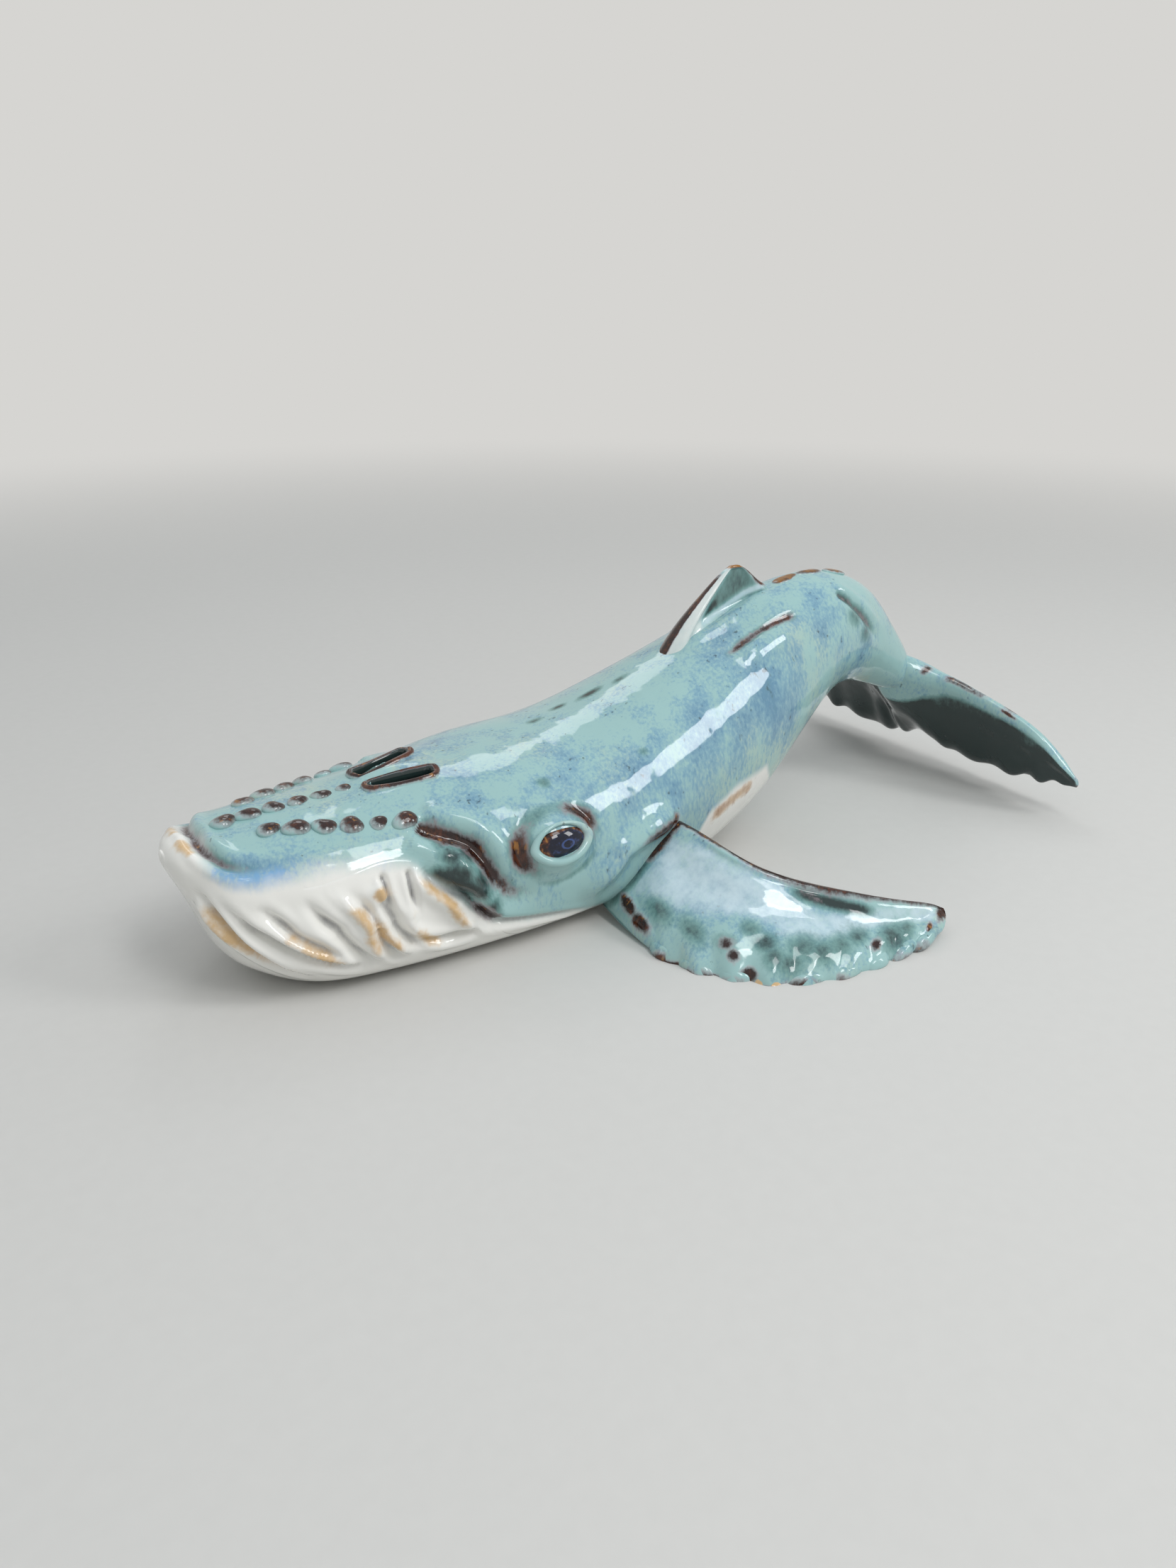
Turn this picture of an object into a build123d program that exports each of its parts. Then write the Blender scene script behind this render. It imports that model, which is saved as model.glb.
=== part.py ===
from build123d import *
import os
from collections import namedtuple
from math import cos, sin, radians

# Hand-built stoneware humpback whale, lying on chin, belly and flippers.
# Millimetres. Head towards -X, the whale's left flank towards -Y, ground at Z = 0.

# Hollow body: wall of the two luted halves, and the clay left solid at both ends
WALL = 6.0
NOSE_CLAY = 17.0
TAIL_CLAY = 45.0

# Cross-sections of the body, from the lip of the jaw to the end of the tail stock.
# x, z: centre; tilt: lean of the section towards the tail in degrees;
# rise, drop: height above and below the centre; half: half-width;
# crown, keel: squareness of the upper and of the lower half
Section = namedtuple("Section", "x z tilt rise drop half crown keel")
BODY = [
    Section(-212.5, 57.0, 0, 2.0, 2.5, 3.5, 2.0, 2.0),
    Section(-211.0, 56.5, 0, 5.0, 6.5, 9.0, 2.0, 2.0),
    Section(-207.5, 54.0, 0, 9.5, 13.0, 16.0, 2.2, 2.0),
    Section(-201.0, 47.0, 0, 17.5, 24.0, 25.0, 2.4, 2.0),
    Section(-189.0, 37.0, 0, 28.5, 30.0, 33.0, 2.5, 2.1),
    Section(-170.0, 31.0, 0, 35.5, 32.0, 40.5, 2.5, 2.6),
    Section(-145.0, 31.0, 0, 36.0, 32.0, 46.0, 2.5, 3.2),
    Section(-115.0, 33.0, 0, 37.0, 34.0, 50.0, 2.4, 3.4),
    Section(-80.0, 35.0, 0, 39.0, 36.0, 53.5, 2.3, 3.3),
    Section(-40.0, 37.0, 0, 41.0, 38.0, 53.5, 2.2, 3.0),
    Section(0.0, 44.0, 0, 46.5, 45.0, 49.0, 2.1, 2.5),
    Section(35.0, 56.0, 0, 48.0, 47.0, 43.0, 2.0, 2.3),
    Section(68.0, 71.0, 3, 46.0, 47.0, 35.5, 2.0, 2.1),
    Section(98.0, 84.0, 12, 38.5, 38.0, 28.0, 2.0, 2.0),
    Section(121.0, 86.0, 26, 31.0, 29.0, 22.0, 2.0, 2.0),
    Section(142.0, 79.0, 39, 21.0, 21.0, 17.0, 2.0, 2.0),
    Section(159.0, 68.0, 46, 14.5, 15.0, 13.5, 2.0, 2.0),
    Section(176.0, 54.0, 52, 8.0, 8.0, 11.0, 2.0, 2.0),
]
RIDGE_ANGLE = 5.0
SECTION_ANGLES = (-90, -72, -52, -32, -12, 12, 32, 52, 72, 90)

# Section of every fin: where its thickness is taken, the bluntness of its leading edge,
# and the thickness of its trailing edge as a share of the thickest place
BLADE_ANGLES = (0, 15, 35, 60, 90, 120, 150, 180)
BLADE_BLUNT = 0.75
BLADE_EDGE = 0.25

# Seam where the upper half is luted to the lower half, seen from the side
SEAM_FRONT_Z = 62.0
SEAM_LIP_X = -165.0
SEAM_LIP_Z = 50.0
MOUTH_CORNER_X = -122.0
MOUTH_CORNER_Z = 44.0
JAW_HINGE_X = -101.0
JAW_HINGE_Z = 15.0
BELLY_SEAM_Z = 9.0
BELLY_SEAM_X = -55.0
BELLY_REAR_X = 30.0
BELLY_REAR_Z = 16.0
BELLY_END_X = 112.0
BELLY_END_Z = 48.0

# Groove of the mouth round the tip of the rostrum
MOUTH_GROOVE_R = 3.4
MOUTH_GROOVE_DEPTH = 2.2
MOUTH_TIP_X = -206.5
MOUTH_SIDE_X = -180.0
MOUTH_SIDE_ANGLE = 30.0

# Pleats of the throat: round-bottomed grooves sweeping down and back on each side
PLEATS = 9
PLEAT_R = 3.2
PLEAT_DEPTH = 2.0
PLEAT_FIRST_X = -199.0
PLEAT_LAST_X = -118.0
PLEAT_SWEEP_FIRST = 42.0
PLEAT_SWEEP_LAST = 14.0
PLEAT_TOP_ANGLE = -4.0
PLEAT_MID_ANGLE = -34.0
PLEAT_LOW_ANGLE = -66.0

# Cheek fold from the mouth corner down behind the jaw
FOLD_R = 3.4
FOLD_DEPTH = 2.4
FOLD_TOP_X = -128.0
FOLD_MID_X = -106.0
FOLD_LOW_X = -88.0
FOLD_TOP_ANGLE = 36.0
FOLD_MID_ANGLE = 4.0
FOLD_LOW_ANGLE = -40.0

# Eyes: a mound on the flank with a round socket, a ball in it and a coil ring as the lid
EYE_X = -76.0
EYE_ANGLE = 16.0
MOUND_R = 25.0
MOUND_RISE = 7.0
EYEBALL_R = 7.2
EYEBALL_RISE = 2.4
LID_COIL_R = 2.4

# Blowhole: two slots that splay apart towards the tail, each with a raised rim
NOSTRIL_X = -121.0
NOSTRIL_Y = 9.5
NOSTRIL_LENGTH = 24.0
NOSTRIL_WIDTH = 5.5
NOSTRIL_SPLAY = 13.0
RIM_WIDTH = 3.2
RIM_RISE = 2.6

# Pellets on the rostrum
ROW_COUNT = 6
KNOB_R = 3.9
KNOB_RISE = 2.6
SNOUT_FIRST_X = -189.0
SNOUT_LAST_X = -141.0
SIDE_FIRST_X = -177.0
SIDE_LAST_X = -130.0
SIDE_FIRST_ANGLE = 76.0
SIDE_LAST_ANGLE = 55.0

# Pellets on the ridge behind the dorsal fin
KNUCKLE_COUNT = 3
KNUCKLE_R = 5.0
KNUCKLE_RISE = 2.2
KNUCKLE_FIRST_X = 82.0
KNUCKLE_LAST_X = 108.0

# Flipper: sections of the left one in upright planes that face out and back.
# run: distance of the plane from the root on the flank; lead, trail: places of the two edges
# across that plane; their z: height over the ground
Blade = namedtuple("Blade", "run lead lead_z trail trail_z thick")
FLIPPER_X = -30.0
FLIPPER_SWEEP = 45.0
FLIPPER = [
    Blade(-24.0, 0.0, 8.0, 38.0, 46.0, 20.0),
    Blade(-2.5, -22.0, 2.0, 25.0, 44.0, 18.0),
    Blade(19.0, -36.5, -1.0, 9.5, 41.0, 13.0),
    Blade(40.0, -41.5, -1.5, -1.0, 33.0, 12.0),
    Blade(61.0, -41.5, -1.5, -2.0, 26.5, 11.0),
    Blade(82.5, -34.5, -1.5, 1.5, 21.0, 10.0),
    Blade(100.0, -19.0, -0.8, 6.0, 16.5, 9.0),
    Blade(114.0, -4.0, 1.3, 11.5, 11.5, 6.0),
    Blade(120.5, 10.0, 5.0, 13.5, 8.0, 2.5),
]
FLIPPER_KNOBS = 9
FLIPPER_KNOB_R = 5.2
FLIPPER_KNOB_RISE = 2.8
FLIPPER_KNOB_FIRST = 1.6
FLIPPER_KNOB_LAST = 7.0

# Dorsal fin: sections from inside the back up to the hooked tip
Fin = namedtuple("Fin", "lead_x lead_z trail_x trail_z thick")
DORSAL = [
    Fin(6.0, 84.0, 82.0, 103.0, 17.0),
    Fin(20.0, 103.0, 76.0, 117.0, 12.0),
    Fin(34.0, 117.0, 70.0, 122.0, 7.5),
    Fin(46.0, 127.0, 63.0, 127.5, 4.5),
    Fin(52.0, 130.5, 58.0, 130.5, 2.5),
]

# Tail fluke: sections across the span, measured from the end of the tail stock
FLUKE_NOTCH_DEPTH = 17.0
FLUKE_NOTCH_GAP = 0.3
Fluke = namedtuple("Fluke", "y lead_aft lead_up trail_aft trail_up thick")
FLUKE = [
    Fluke(0.0, -8.0, 8.0, 30.0, -32.0, 20.0),
    Fluke(18.0, -1.0, 10.0, 33.0, -41.0, 15.0),
    Fluke(42.0, 10.0, 3.0, 33.5, -44.0, 10.5),
    Fluke(68.0, 19.0, -8.0, 32.0, -42.0, 8.0),
    Fluke(84.0, 25.0, -21.0, 31.0, -39.0, 6.0),
    Fluke(94.0, 29.0, -32.0, 32.0, -37.0, 3.0),
]


def blend(places, values, place):
    """Value at a place, on the natural cubic curve through the given places and values."""
    count = len(places)
    step = [places[i + 1] - places[i] for i in range(count - 1)]
    slope = [(values[i + 1] - values[i]) / step[i] for i in range(count - 1)]
    diagonal = [1.0] * count
    right = [0.0] * count
    for i in range(1, count - 1):
        low = step[i - 1] / diagonal[i - 1] if i > 1 else 0.0
        diagonal[i] = 2 * (step[i - 1] + step[i]) - low * (step[i - 1] if i > 1 else 0.0)
        right[i] = 6 * (slope[i] - slope[i - 1]) - low * right[i - 1]
    bend = [0.0] * count
    for i in range(count - 2, 0, -1):
        bend[i] = (right[i] - step[i] * bend[i + 1]) / diagonal[i]
    i = max(k for k in range(count - 1) if k == 0 or places[k] <= place)
    run = place - places[i]
    first = slope[i] - step[i] * (2 * bend[i] + bend[i + 1]) / 6
    return values[i] + run * first + run ** 2 * bend[i] / 2 + run ** 3 * (bend[i + 1] - bend[i]) / (6 * step[i])


def body_section(x):
    """Section of the body whose centre lies at x, from the curves through the driving sections."""
    places = [section.x for section in BODY]
    return Section(*(blend(places, [section[k] for section in BODY], x) for k in range(8)))


def section_point(section, angle, inset=0.0):
    """Point of a section: angle 0 on the left flank, 90 on the back, -90 under the belly."""
    across = cos(radians(angle))
    up = sin(radians(angle))
    power = 2 / (section.crown if up >= 0 else section.keel)
    height = (section.rise if up >= 0 else section.drop) - inset
    y = -(section.half - inset) * max(across, 0.0) ** power
    v = height * abs(up) ** power * (1 if up >= 0 else -1)
    tilt = radians(section.tilt)
    return Vector(section.x + v * sin(tilt), y, section.z + v * cos(tilt))


def smooth(points, start, end):
    """Curve through points at even steps, leaving and arriving in the given directions."""
    spans = len(points) - 1
    leaving = start * abs((points[1] - points[0]).dot(start) * spans)
    arriving = end * abs((points[-1] - points[-2]).dot(end) * spans)
    even = [i / spans for i in range(spans + 1)]
    return Edge.make_spline(points, tangents=[leaving, arriving], parameters=even, scale=False)


def section_face(section, inset=0.0):
    """Closed section of the body, two smooth halves that meet under the belly and in a faint ridge on the back."""
    left = [section_point(section, angle, inset) for angle in SECTION_ANGLES]
    right = [Vector(p.X, -p.Y, p.Z) for p in reversed(left)]
    up = Vector(sin(radians(section.tilt)), 0, cos(radians(section.tilt))) * sin(radians(RIDGE_ANGLE))
    leftward = Vector(0, -1, 0)
    to_ridge = up - leftward * cos(radians(RIDGE_ANGLE))
    from_ridge = -up - leftward * cos(radians(RIDGE_ANGLE))
    return Face(Wire([smooth(left, leftward, to_ridge), smooth(right, from_ridge, leftward)]))


def body_run(first, last):
    """Sections from one end to the other: the driving ones and one halfway between each pair."""
    places = [first] + [section.x for section in BODY if first < section.x < last] + [last]
    halfway = [(a + b) / 2 for a, b in zip(places, places[1:])]
    return [body_section(x) for x in sorted(places + halfway)]


def skin(x, angle):
    """Point of the body's outer skin on the left side."""
    return section_point(body_section(x), angle)


def skin_normal(x, angle):
    """Outward direction of the left skin at a point."""
    along = skin(x + 1, angle) - skin(x - 1, angle)
    around = skin(x, angle + 1) - skin(x, angle - 1)
    return along.cross(around).normalized()


def seat(x, angle, rise, radius):
    """Ball that stands out of the skin by its rise."""
    centre = skin(x, angle) + skin_normal(x, angle) * (rise - radius)
    return Pos(centre) * Sphere(radius)


def blade_face(lead, trail, thick, towards):
    """Section of a fin between its leading and trailing points: round in front, a thin edge behind."""
    chord = trail - lead
    over = towards.cross(chord).normalized()
    upper = []
    lower = []
    for angle in BLADE_ANGLES:
        share = (1 - cos(radians(angle))) / 2
        round_part = max(sin(radians(angle)), 0.0) ** BLADE_BLUNT * (1 - BLADE_EDGE)
        swell = over * (thick / 2 * (round_part + BLADE_EDGE * share))
        upper.append(lead + chord * share + swell)
        lower.append(lead + chord * share - swell)
    lower.reverse()
    top = smooth(upper, over, (upper[-1] - upper[-2]).normalized())
    bottom = smooth(lower, (lower[1] - lower[0]).normalized(), over)
    return Face(Wire([top, Line(upper[-1], lower[0]), bottom]))


def curve_at(points, place):
    """Point on the smooth curve through points, counted from the first one."""
    order = list(range(len(points)))
    return Vector(*(blend(order, [getattr(p, axis) for p in points], place) for axis in "XYZ"))


def blade_loft(leads, trails, thicks, towards):
    """Fin through its sections and one halfway between each pair, in planes facing one way."""
    order = list(range(len(thicks)))
    faces = []
    for place in [i / 2 for i in range(2 * len(thicks) - 1)]:
        thick = blend(order, thicks, place)
        faces.append(blade_face(curve_at(leads, place), curve_at(trails, place), thick, towards))
    return loft(faces)


def flipper_pieces(side):
    """Flipper and the pellets along its leading edge; side is -1 on the left and 1 on the right."""
    root = Vector(FLIPPER_X, side * body_section(FLIPPER_X).half, 0)
    outward = Vector(sin(radians(FLIPPER_SWEEP)), side * cos(radians(FLIPPER_SWEEP)), 0)
    across = Vector(cos(radians(FLIPPER_SWEEP)), -side * sin(radians(FLIPPER_SWEEP)), 0)
    lead = [root + outward * b.run + across * b.lead + Vector(0, 0, b.lead_z) for b in FLIPPER]
    trail = [root + outward * b.run + across * b.trail + Vector(0, 0, b.trail_z) for b in FLIPPER]
    blade = blade_loft(lead, trail, [b.thick for b in FLIPPER], outward) - ground
    knobs = []
    for place in steps(FLIPPER_KNOB_FIRST, FLIPPER_KNOB_LAST, FLIPPER_KNOBS):
        edge = curve_at(lead, place)
        inward = (curve_at(trail, place) - edge).normalized()
        spot = edge + inward * (FLIPPER_KNOB_R - FLIPPER_KNOB_RISE)
        knobs.append(Pos(spot) * Sphere(FLIPPER_KNOB_R) - ground)
    return blade - knobs - body, knobs


def groove(points, radius):
    """Round tool that follows an arc through three points."""
    path = ThreePointArc(*points)
    return sweep(Plane(path @ 0, z_dir=path % 0) * Circle(radius), path=path)


def mirrored(shape):
    """The same piece on the whale's right side."""
    return mirror(shape, about=Plane.XZ)


def both_sides(shapes):
    """Left tools and their mirror images."""
    return shapes + [mirrored(shape) for shape in shapes]


def on_side(side, shapes):
    """Left pieces as they are, or their mirror images for the right side."""
    return shapes if side == "left" else [mirrored(shape) for shape in shapes]


def steps(first, last, count):
    """Evenly spaced places."""
    return [first + (last - first) * i / (count - 1) for i in range(count)]


def save(shape, node):
    """One file for each node."""
    export_step(shape, f"parts/{node}.step")


os.makedirs("parts", exist_ok=True)
ground = Pos(0, 0, -200) * Box(900, 600, 400)

# Outer form of the body, standing flat on the ground
body = loft([section_face(section) for section in body_run(BODY[0].x, BODY[-1].x)]) - ground

# Hollow inside, ending short of the nose and of the tail stock
nose_end = BODY[0].x + NOSE_CLAY + WALL
tail_end = BODY[-1].x - TAIL_CLAY
hollow = loft([section_face(section, WALL) for section in body_run(nose_end, tail_end)])

# Eye mounds, sockets and balls
eye_out = skin_normal(EYE_X, EYE_ANGLE)
mound_centre = skin(EYE_X, EYE_ANGLE) + eye_out * (MOUND_RISE - MOUND_R)
mound = Pos(mound_centre) * Sphere(MOUND_R)
eyeball_centre = mound_centre + eye_out * (MOUND_R + EYEBALL_RISE - EYEBALL_R)
left_eyeball = Pos(eyeball_centre) * Sphere(EYEBALL_R)
body = body + both_sides([mound])

# Carving: pleats of the throat, cheek fold and the groove of the mouth
carving = []
for i, x in enumerate(steps(PLEAT_FIRST_X, PLEAT_LAST_X, PLEATS)):
    sweep_back = steps(PLEAT_SWEEP_FIRST, PLEAT_SWEEP_LAST, PLEATS)[i]
    spots = [(x, PLEAT_TOP_ANGLE), (x + sweep_back * 0.4, PLEAT_MID_ANGLE), (x + sweep_back, PLEAT_LOW_ANGLE)]
    points = [skin(*spot) + skin_normal(*spot) * (PLEAT_R - PLEAT_DEPTH) for spot in spots]
    carving.append(groove(points, PLEAT_R))
spots = [(FOLD_TOP_X, FOLD_TOP_ANGLE), (FOLD_MID_X, FOLD_MID_ANGLE), (FOLD_LOW_X, FOLD_LOW_ANGLE)]
points = [skin(*spot) + skin_normal(*spot) * (FOLD_R - FOLD_DEPTH) for spot in spots]
carving.append(groove(points, FOLD_R))
spots = [(MOUTH_SIDE_X, MOUTH_SIDE_ANGLE), (MOUTH_TIP_X, 90)]
points = [skin(*spot) + skin_normal(*spot) * (MOUTH_GROOVE_R - MOUTH_GROOVE_DEPTH) for spot in spots]
points.append(Vector(points[0].X, -points[0].Y, points[0].Z))
mouth_groove = groove(points, MOUTH_GROOVE_R)

shell = body - hollow
shell = shell - both_sides(carving) - mouth_groove - both_sides([left_eyeball])

# Blowhole slots through the wall, and their rims
nostril = Pos(NOSTRIL_X, -NOSTRIL_Y, 0) * Rot(0, 0, -NOSTRIL_SPLAY)
nostril_top = skin(NOSTRIL_X, 90).Z + RIM_RISE
slot = nostril * extrude(SlotOverall(NOSTRIL_LENGTH, NOSTRIL_WIDTH), 2 * nostril_top)
rim_outline = SlotOverall(NOSTRIL_LENGTH + 2 * RIM_WIDTH, NOSTRIL_WIDTH + 2 * RIM_WIDTH)
rim_block = extrude(rim_outline, nostril_top)
rim_block = fillet(rim_block.faces().sort_by(Axis.Z)[-1].edges(), RIM_WIDTH * 0.6)
rim_raw = nostril * rim_block - slot
upper_slot = slot & (Pos(NOSTRIL_X, 0, nostril_top) * Box(80, 80, nostril_top))
shell = shell - both_sides([upper_slot])

# The two luted halves
front_x = BODY[0].x - 10
seam = Spline(
    (front_x, 0, SEAM_FRONT_Z),
    (SEAM_LIP_X, 0, SEAM_LIP_Z),
    (MOUTH_CORNER_X, 0, MOUTH_CORNER_Z),
    (JAW_HINGE_X, 0, JAW_HINGE_Z),
    (BELLY_SEAM_X, 0, BELLY_SEAM_Z),
    (BELLY_REAR_X, 0, BELLY_REAR_Z),
    (BELLY_END_X, 0, BELLY_END_Z),
)
frame_edges = [
    seam,
    Line((BELLY_END_X, 0, BELLY_END_Z), (BELLY_END_X, 0, -30)),
    Line((BELLY_END_X, 0, -30), (front_x, 0, -30)),
    Line((front_x, 0, -30), (front_x, 0, SEAM_FRONT_Z)),
]
lower_side = extrude(Face(Wire(frame_edges)), 120, dir=(0, 1, 0), both=True)
belly_shell = shell & lower_side
back_shell = shell - lower_side

# Dorsal fin and the pellets behind it
fin_lead = [Vector(fin.lead_x, 0, fin.lead_z) for fin in DORSAL]
fin_trail = [Vector(fin.trail_x, 0, fin.trail_z) for fin in DORSAL]
fin_raw = blade_loft(fin_lead, fin_trail, [fin.thick for fin in DORSAL], Vector(0, 0, 1))
dorsal_fin = fin_raw - body
knuckles = [
    seat(x, 90, KNUCKLE_RISE, KNUCKLE_R) - body - dorsal_fin
    for x in steps(KNUCKLE_FIRST_X, KNUCKLE_LAST_X, KNUCKLE_COUNT)
]

# Tail fluke, with the notch in its leading edge that takes the end of the tail stock
stock = BODY[-1]
stock_end = Vector(stock.x, 0, stock.z)
stock_way = Vector(cos(radians(stock.tilt)), 0, -sin(radians(stock.tilt)))
notch_half = body_section(stock.x - FLUKE_NOTCH_DEPTH).half + FLUKE_NOTCH_GAP
notch = Box(2 * FLUKE_NOTCH_DEPTH, 2 * notch_half, 4 * FLUKE_NOTCH_DEPTH, align=(Align.MAX, Align.CENTER, Align.CENTER))
notch = Plane(stock_end, x_dir=stock_way, z_dir=Vector(0, 1, 0).cross(-stock_way)) * notch
span = [part._replace(y=-part.y) for part in reversed(FLUKE[1:])] + FLUKE
fluke_lead = [stock_end + Vector(part.lead_aft, part.y, part.lead_up) for part in span]
fluke_trail = [stock_end + Vector(part.trail_aft, part.y, part.trail_up) for part in span]
fluke_raw = blade_loft(fluke_lead, fluke_trail, [part.thick for part in span], Vector(0, 1, 0))
tail_fluke = fluke_raw - notch

# Lids, and pellets on the rostrum
lid = Plane(eyeball_centre, z_dir=eye_out) * Torus(EYEBALL_R + LID_COIL_R * 0.5, LID_COIL_R)
lid = Pos(eye_out * (EYEBALL_R - EYEBALL_RISE)) * lid
lid_raw = lid - left_eyeball
snout_knobs = [seat(x, 90, KNOB_RISE, KNOB_R) - body for x in steps(SNOUT_FIRST_X, SNOUT_LAST_X, ROW_COUNT)]
side_places = zip(
    steps(SIDE_FIRST_X, SIDE_LAST_X, ROW_COUNT),
    steps(SIDE_FIRST_ANGLE, SIDE_LAST_ANGLE, ROW_COUNT),
)
row_raw = [seat(x, angle, KNOB_RISE, KNOB_R) for x, angle in side_places]

save(back_shell, "back_shell")
save(belly_shell, "belly_shell")
save(dorsal_fin, "dorsal_fin")
save(tail_fluke, "tail_fluke")
save(Compound(knuckles), "back_knuckles")
save(Compound(snout_knobs), "snout_knobs")
for side, sign in (("left", -1), ("right", 1)):
    flipper, knobs = flipper_pieces(sign)
    save(flipper, f"{side}_flipper")
    save(Compound(knobs), f"{side}_flipper_knobs")
    save(Compound(on_side(side, [left_eyeball])), f"{side}_eyeball")
    save(on_side(side, [lid_raw])[0] - body, f"{side}_eyelid")
    save(on_side(side, [rim_raw])[0] - body, f"{side}_nostril_rim")
    save(Compound([knob - body for knob in on_side(side, row_raw)]), f"{side}_row_knobs")
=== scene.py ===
"""Looks of a hand-built stoneware humpback whale under a reactive blue-green glaze.

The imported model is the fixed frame. Every piece here is a surface worked out with numpy in millimetres,
in the frame of the solids: head towards -X, left flank towards -Y, ground at Z = 0.
"""

from collections import namedtuple

import bmesh
import bpy
import numpy as np
from bpy.props import FloatProperty, FloatVectorProperty, PointerProperty, StringProperty
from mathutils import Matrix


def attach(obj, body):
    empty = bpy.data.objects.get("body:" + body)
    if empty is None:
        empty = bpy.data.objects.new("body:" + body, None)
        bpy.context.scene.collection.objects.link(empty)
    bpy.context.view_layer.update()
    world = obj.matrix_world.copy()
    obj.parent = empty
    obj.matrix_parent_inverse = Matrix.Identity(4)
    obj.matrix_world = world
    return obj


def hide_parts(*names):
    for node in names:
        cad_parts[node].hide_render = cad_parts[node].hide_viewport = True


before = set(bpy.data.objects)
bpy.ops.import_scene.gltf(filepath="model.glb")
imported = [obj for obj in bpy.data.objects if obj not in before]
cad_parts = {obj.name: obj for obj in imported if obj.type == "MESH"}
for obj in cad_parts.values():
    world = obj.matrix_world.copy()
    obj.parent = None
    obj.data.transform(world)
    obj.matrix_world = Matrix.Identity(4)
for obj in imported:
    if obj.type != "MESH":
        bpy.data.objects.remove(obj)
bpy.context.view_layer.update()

bl_info = {
    "name": "Glazed Stoneware Whale",
    "version": (1, 0, 0),
    "blender": (4, 5, 0),
    "location": "View3D > Sidebar > Whale",
    "description": "Builds a hand-built stoneware humpback whale with a reactive glaze",
    "category": "Object",
}

MM = 0.001
FULL_TURN = 2 * np.pi
QUARTER_TURN = np.pi / 2

# Mesh: points nearer than these, in metres, are joined, and edges sharper than this, in degrees, stay sharp
WELD = 2e-6
NO_LENGTH = 1e-7
SHARP_EDGE = 72

# Sections of the body in millimetres and degrees, with heights and squareness above and below the centre
Section = namedtuple("Section", "x z tilt rise drop half crown keel")
BODY = np.array([
    (-212.5, 57.0, 0, 2.0, 2.5, 3.5, 2.0, 2.0),
    (-211.0, 56.5, 0, 5.0, 6.5, 9.0, 2.0, 2.0),
    (-207.5, 54.0, 0, 9.5, 13.0, 16.0, 2.2, 2.0),
    (-201.0, 47.0, 0, 17.5, 24.0, 25.0, 2.4, 2.0),
    (-189.0, 37.0, 0, 28.5, 30.0, 33.0, 2.5, 2.1),
    (-170.0, 31.0, 0, 35.5, 32.0, 40.5, 2.5, 2.6),
    (-145.0, 31.0, 0, 36.0, 32.0, 46.0, 2.5, 3.2),
    (-115.0, 33.0, 0, 37.0, 34.0, 50.0, 2.4, 3.4),
    (-80.0, 35.0, 0, 39.0, 36.0, 53.5, 2.3, 3.3),
    (-40.0, 37.0, 0, 41.0, 38.0, 53.5, 2.2, 3.0),
    (0.0, 44.0, 0, 46.5, 45.0, 49.0, 2.1, 2.5),
    (35.0, 56.0, 0, 48.0, 47.0, 43.0, 2.0, 2.3),
    (68.0, 71.0, 3, 46.0, 47.0, 35.5, 2.0, 2.1),
    (98.0, 84.0, 12, 38.5, 38.0, 28.0, 2.0, 2.0),
    (121.0, 86.0, 26, 31.0, 29.0, 22.0, 2.0, 2.0),
    (142.0, 79.0, 39, 21.0, 21.0, 17.0, 2.0, 2.0),
    (159.0, 68.0, 46, 14.5, 15.0, 13.5, 2.0, 2.0),
    (176.0, 54.0, 52, 8.0, 8.0, 11.0, 2.0, 2.0),
])
NOSE = np.array((-213.2, 0.0, 57.0))
STOCK_END = np.array((176.0, 0.0, 54.0))
# The stock runs on into the fluke as a rounded tongue
TONGUE_END = np.array((193.0, 0.0, 36.0))
TONGUE_TURNS = (15, 30, 45, 60, 75, 90)

# Grid of the body: sections, crowded towards the head, points round each half, and points across its inside
STATIONS = 430
STATION_CROWDING = 1.35
BACK_COLUMNS = 216
BELLY_COLUMNS = 176
INSIDE_COLUMNS = 6
INSIDE_BOW = 2.5
SEAM_SEARCH = 721

# Seam between the two luted halves, seen from the side: x, z
SEAM = np.array([(-222.5, 62), (-165, 50), (-122, 44), (-101, 15), (-55, 9), (30, 16), (112, 48)])

# Line where the blue glaze meets the white: x, angle round the section (0 left flank, 90 back)
GLAZE_LINE = np.array([
    (-209, 77), (-204, 36), (-198, 25), (-188, 27), (-177, 32), (-164, 35), (-148, 34), (-135, 28),
    (-124, 9), (-113, -2), (-104, -13), (-92, -18), (-78, -24), (-66, -30), (-56, -38), (-40, -42),
    (-25, -42), (-6, -26), (6, -9), (22, -6), (46, -14), (56, -40), (64, -88),
], float)
LIP_X = -201.0
# The two glazes run together over the jaw and meet more sharply behind it: x, millimetres that they take
RUN_X = (-140, -110)
RUN_WIDTH = (60, 36)
# Behind the last spot the line drops below the ground, so that nothing there is white
NO_WHITE_Z = -90

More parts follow.
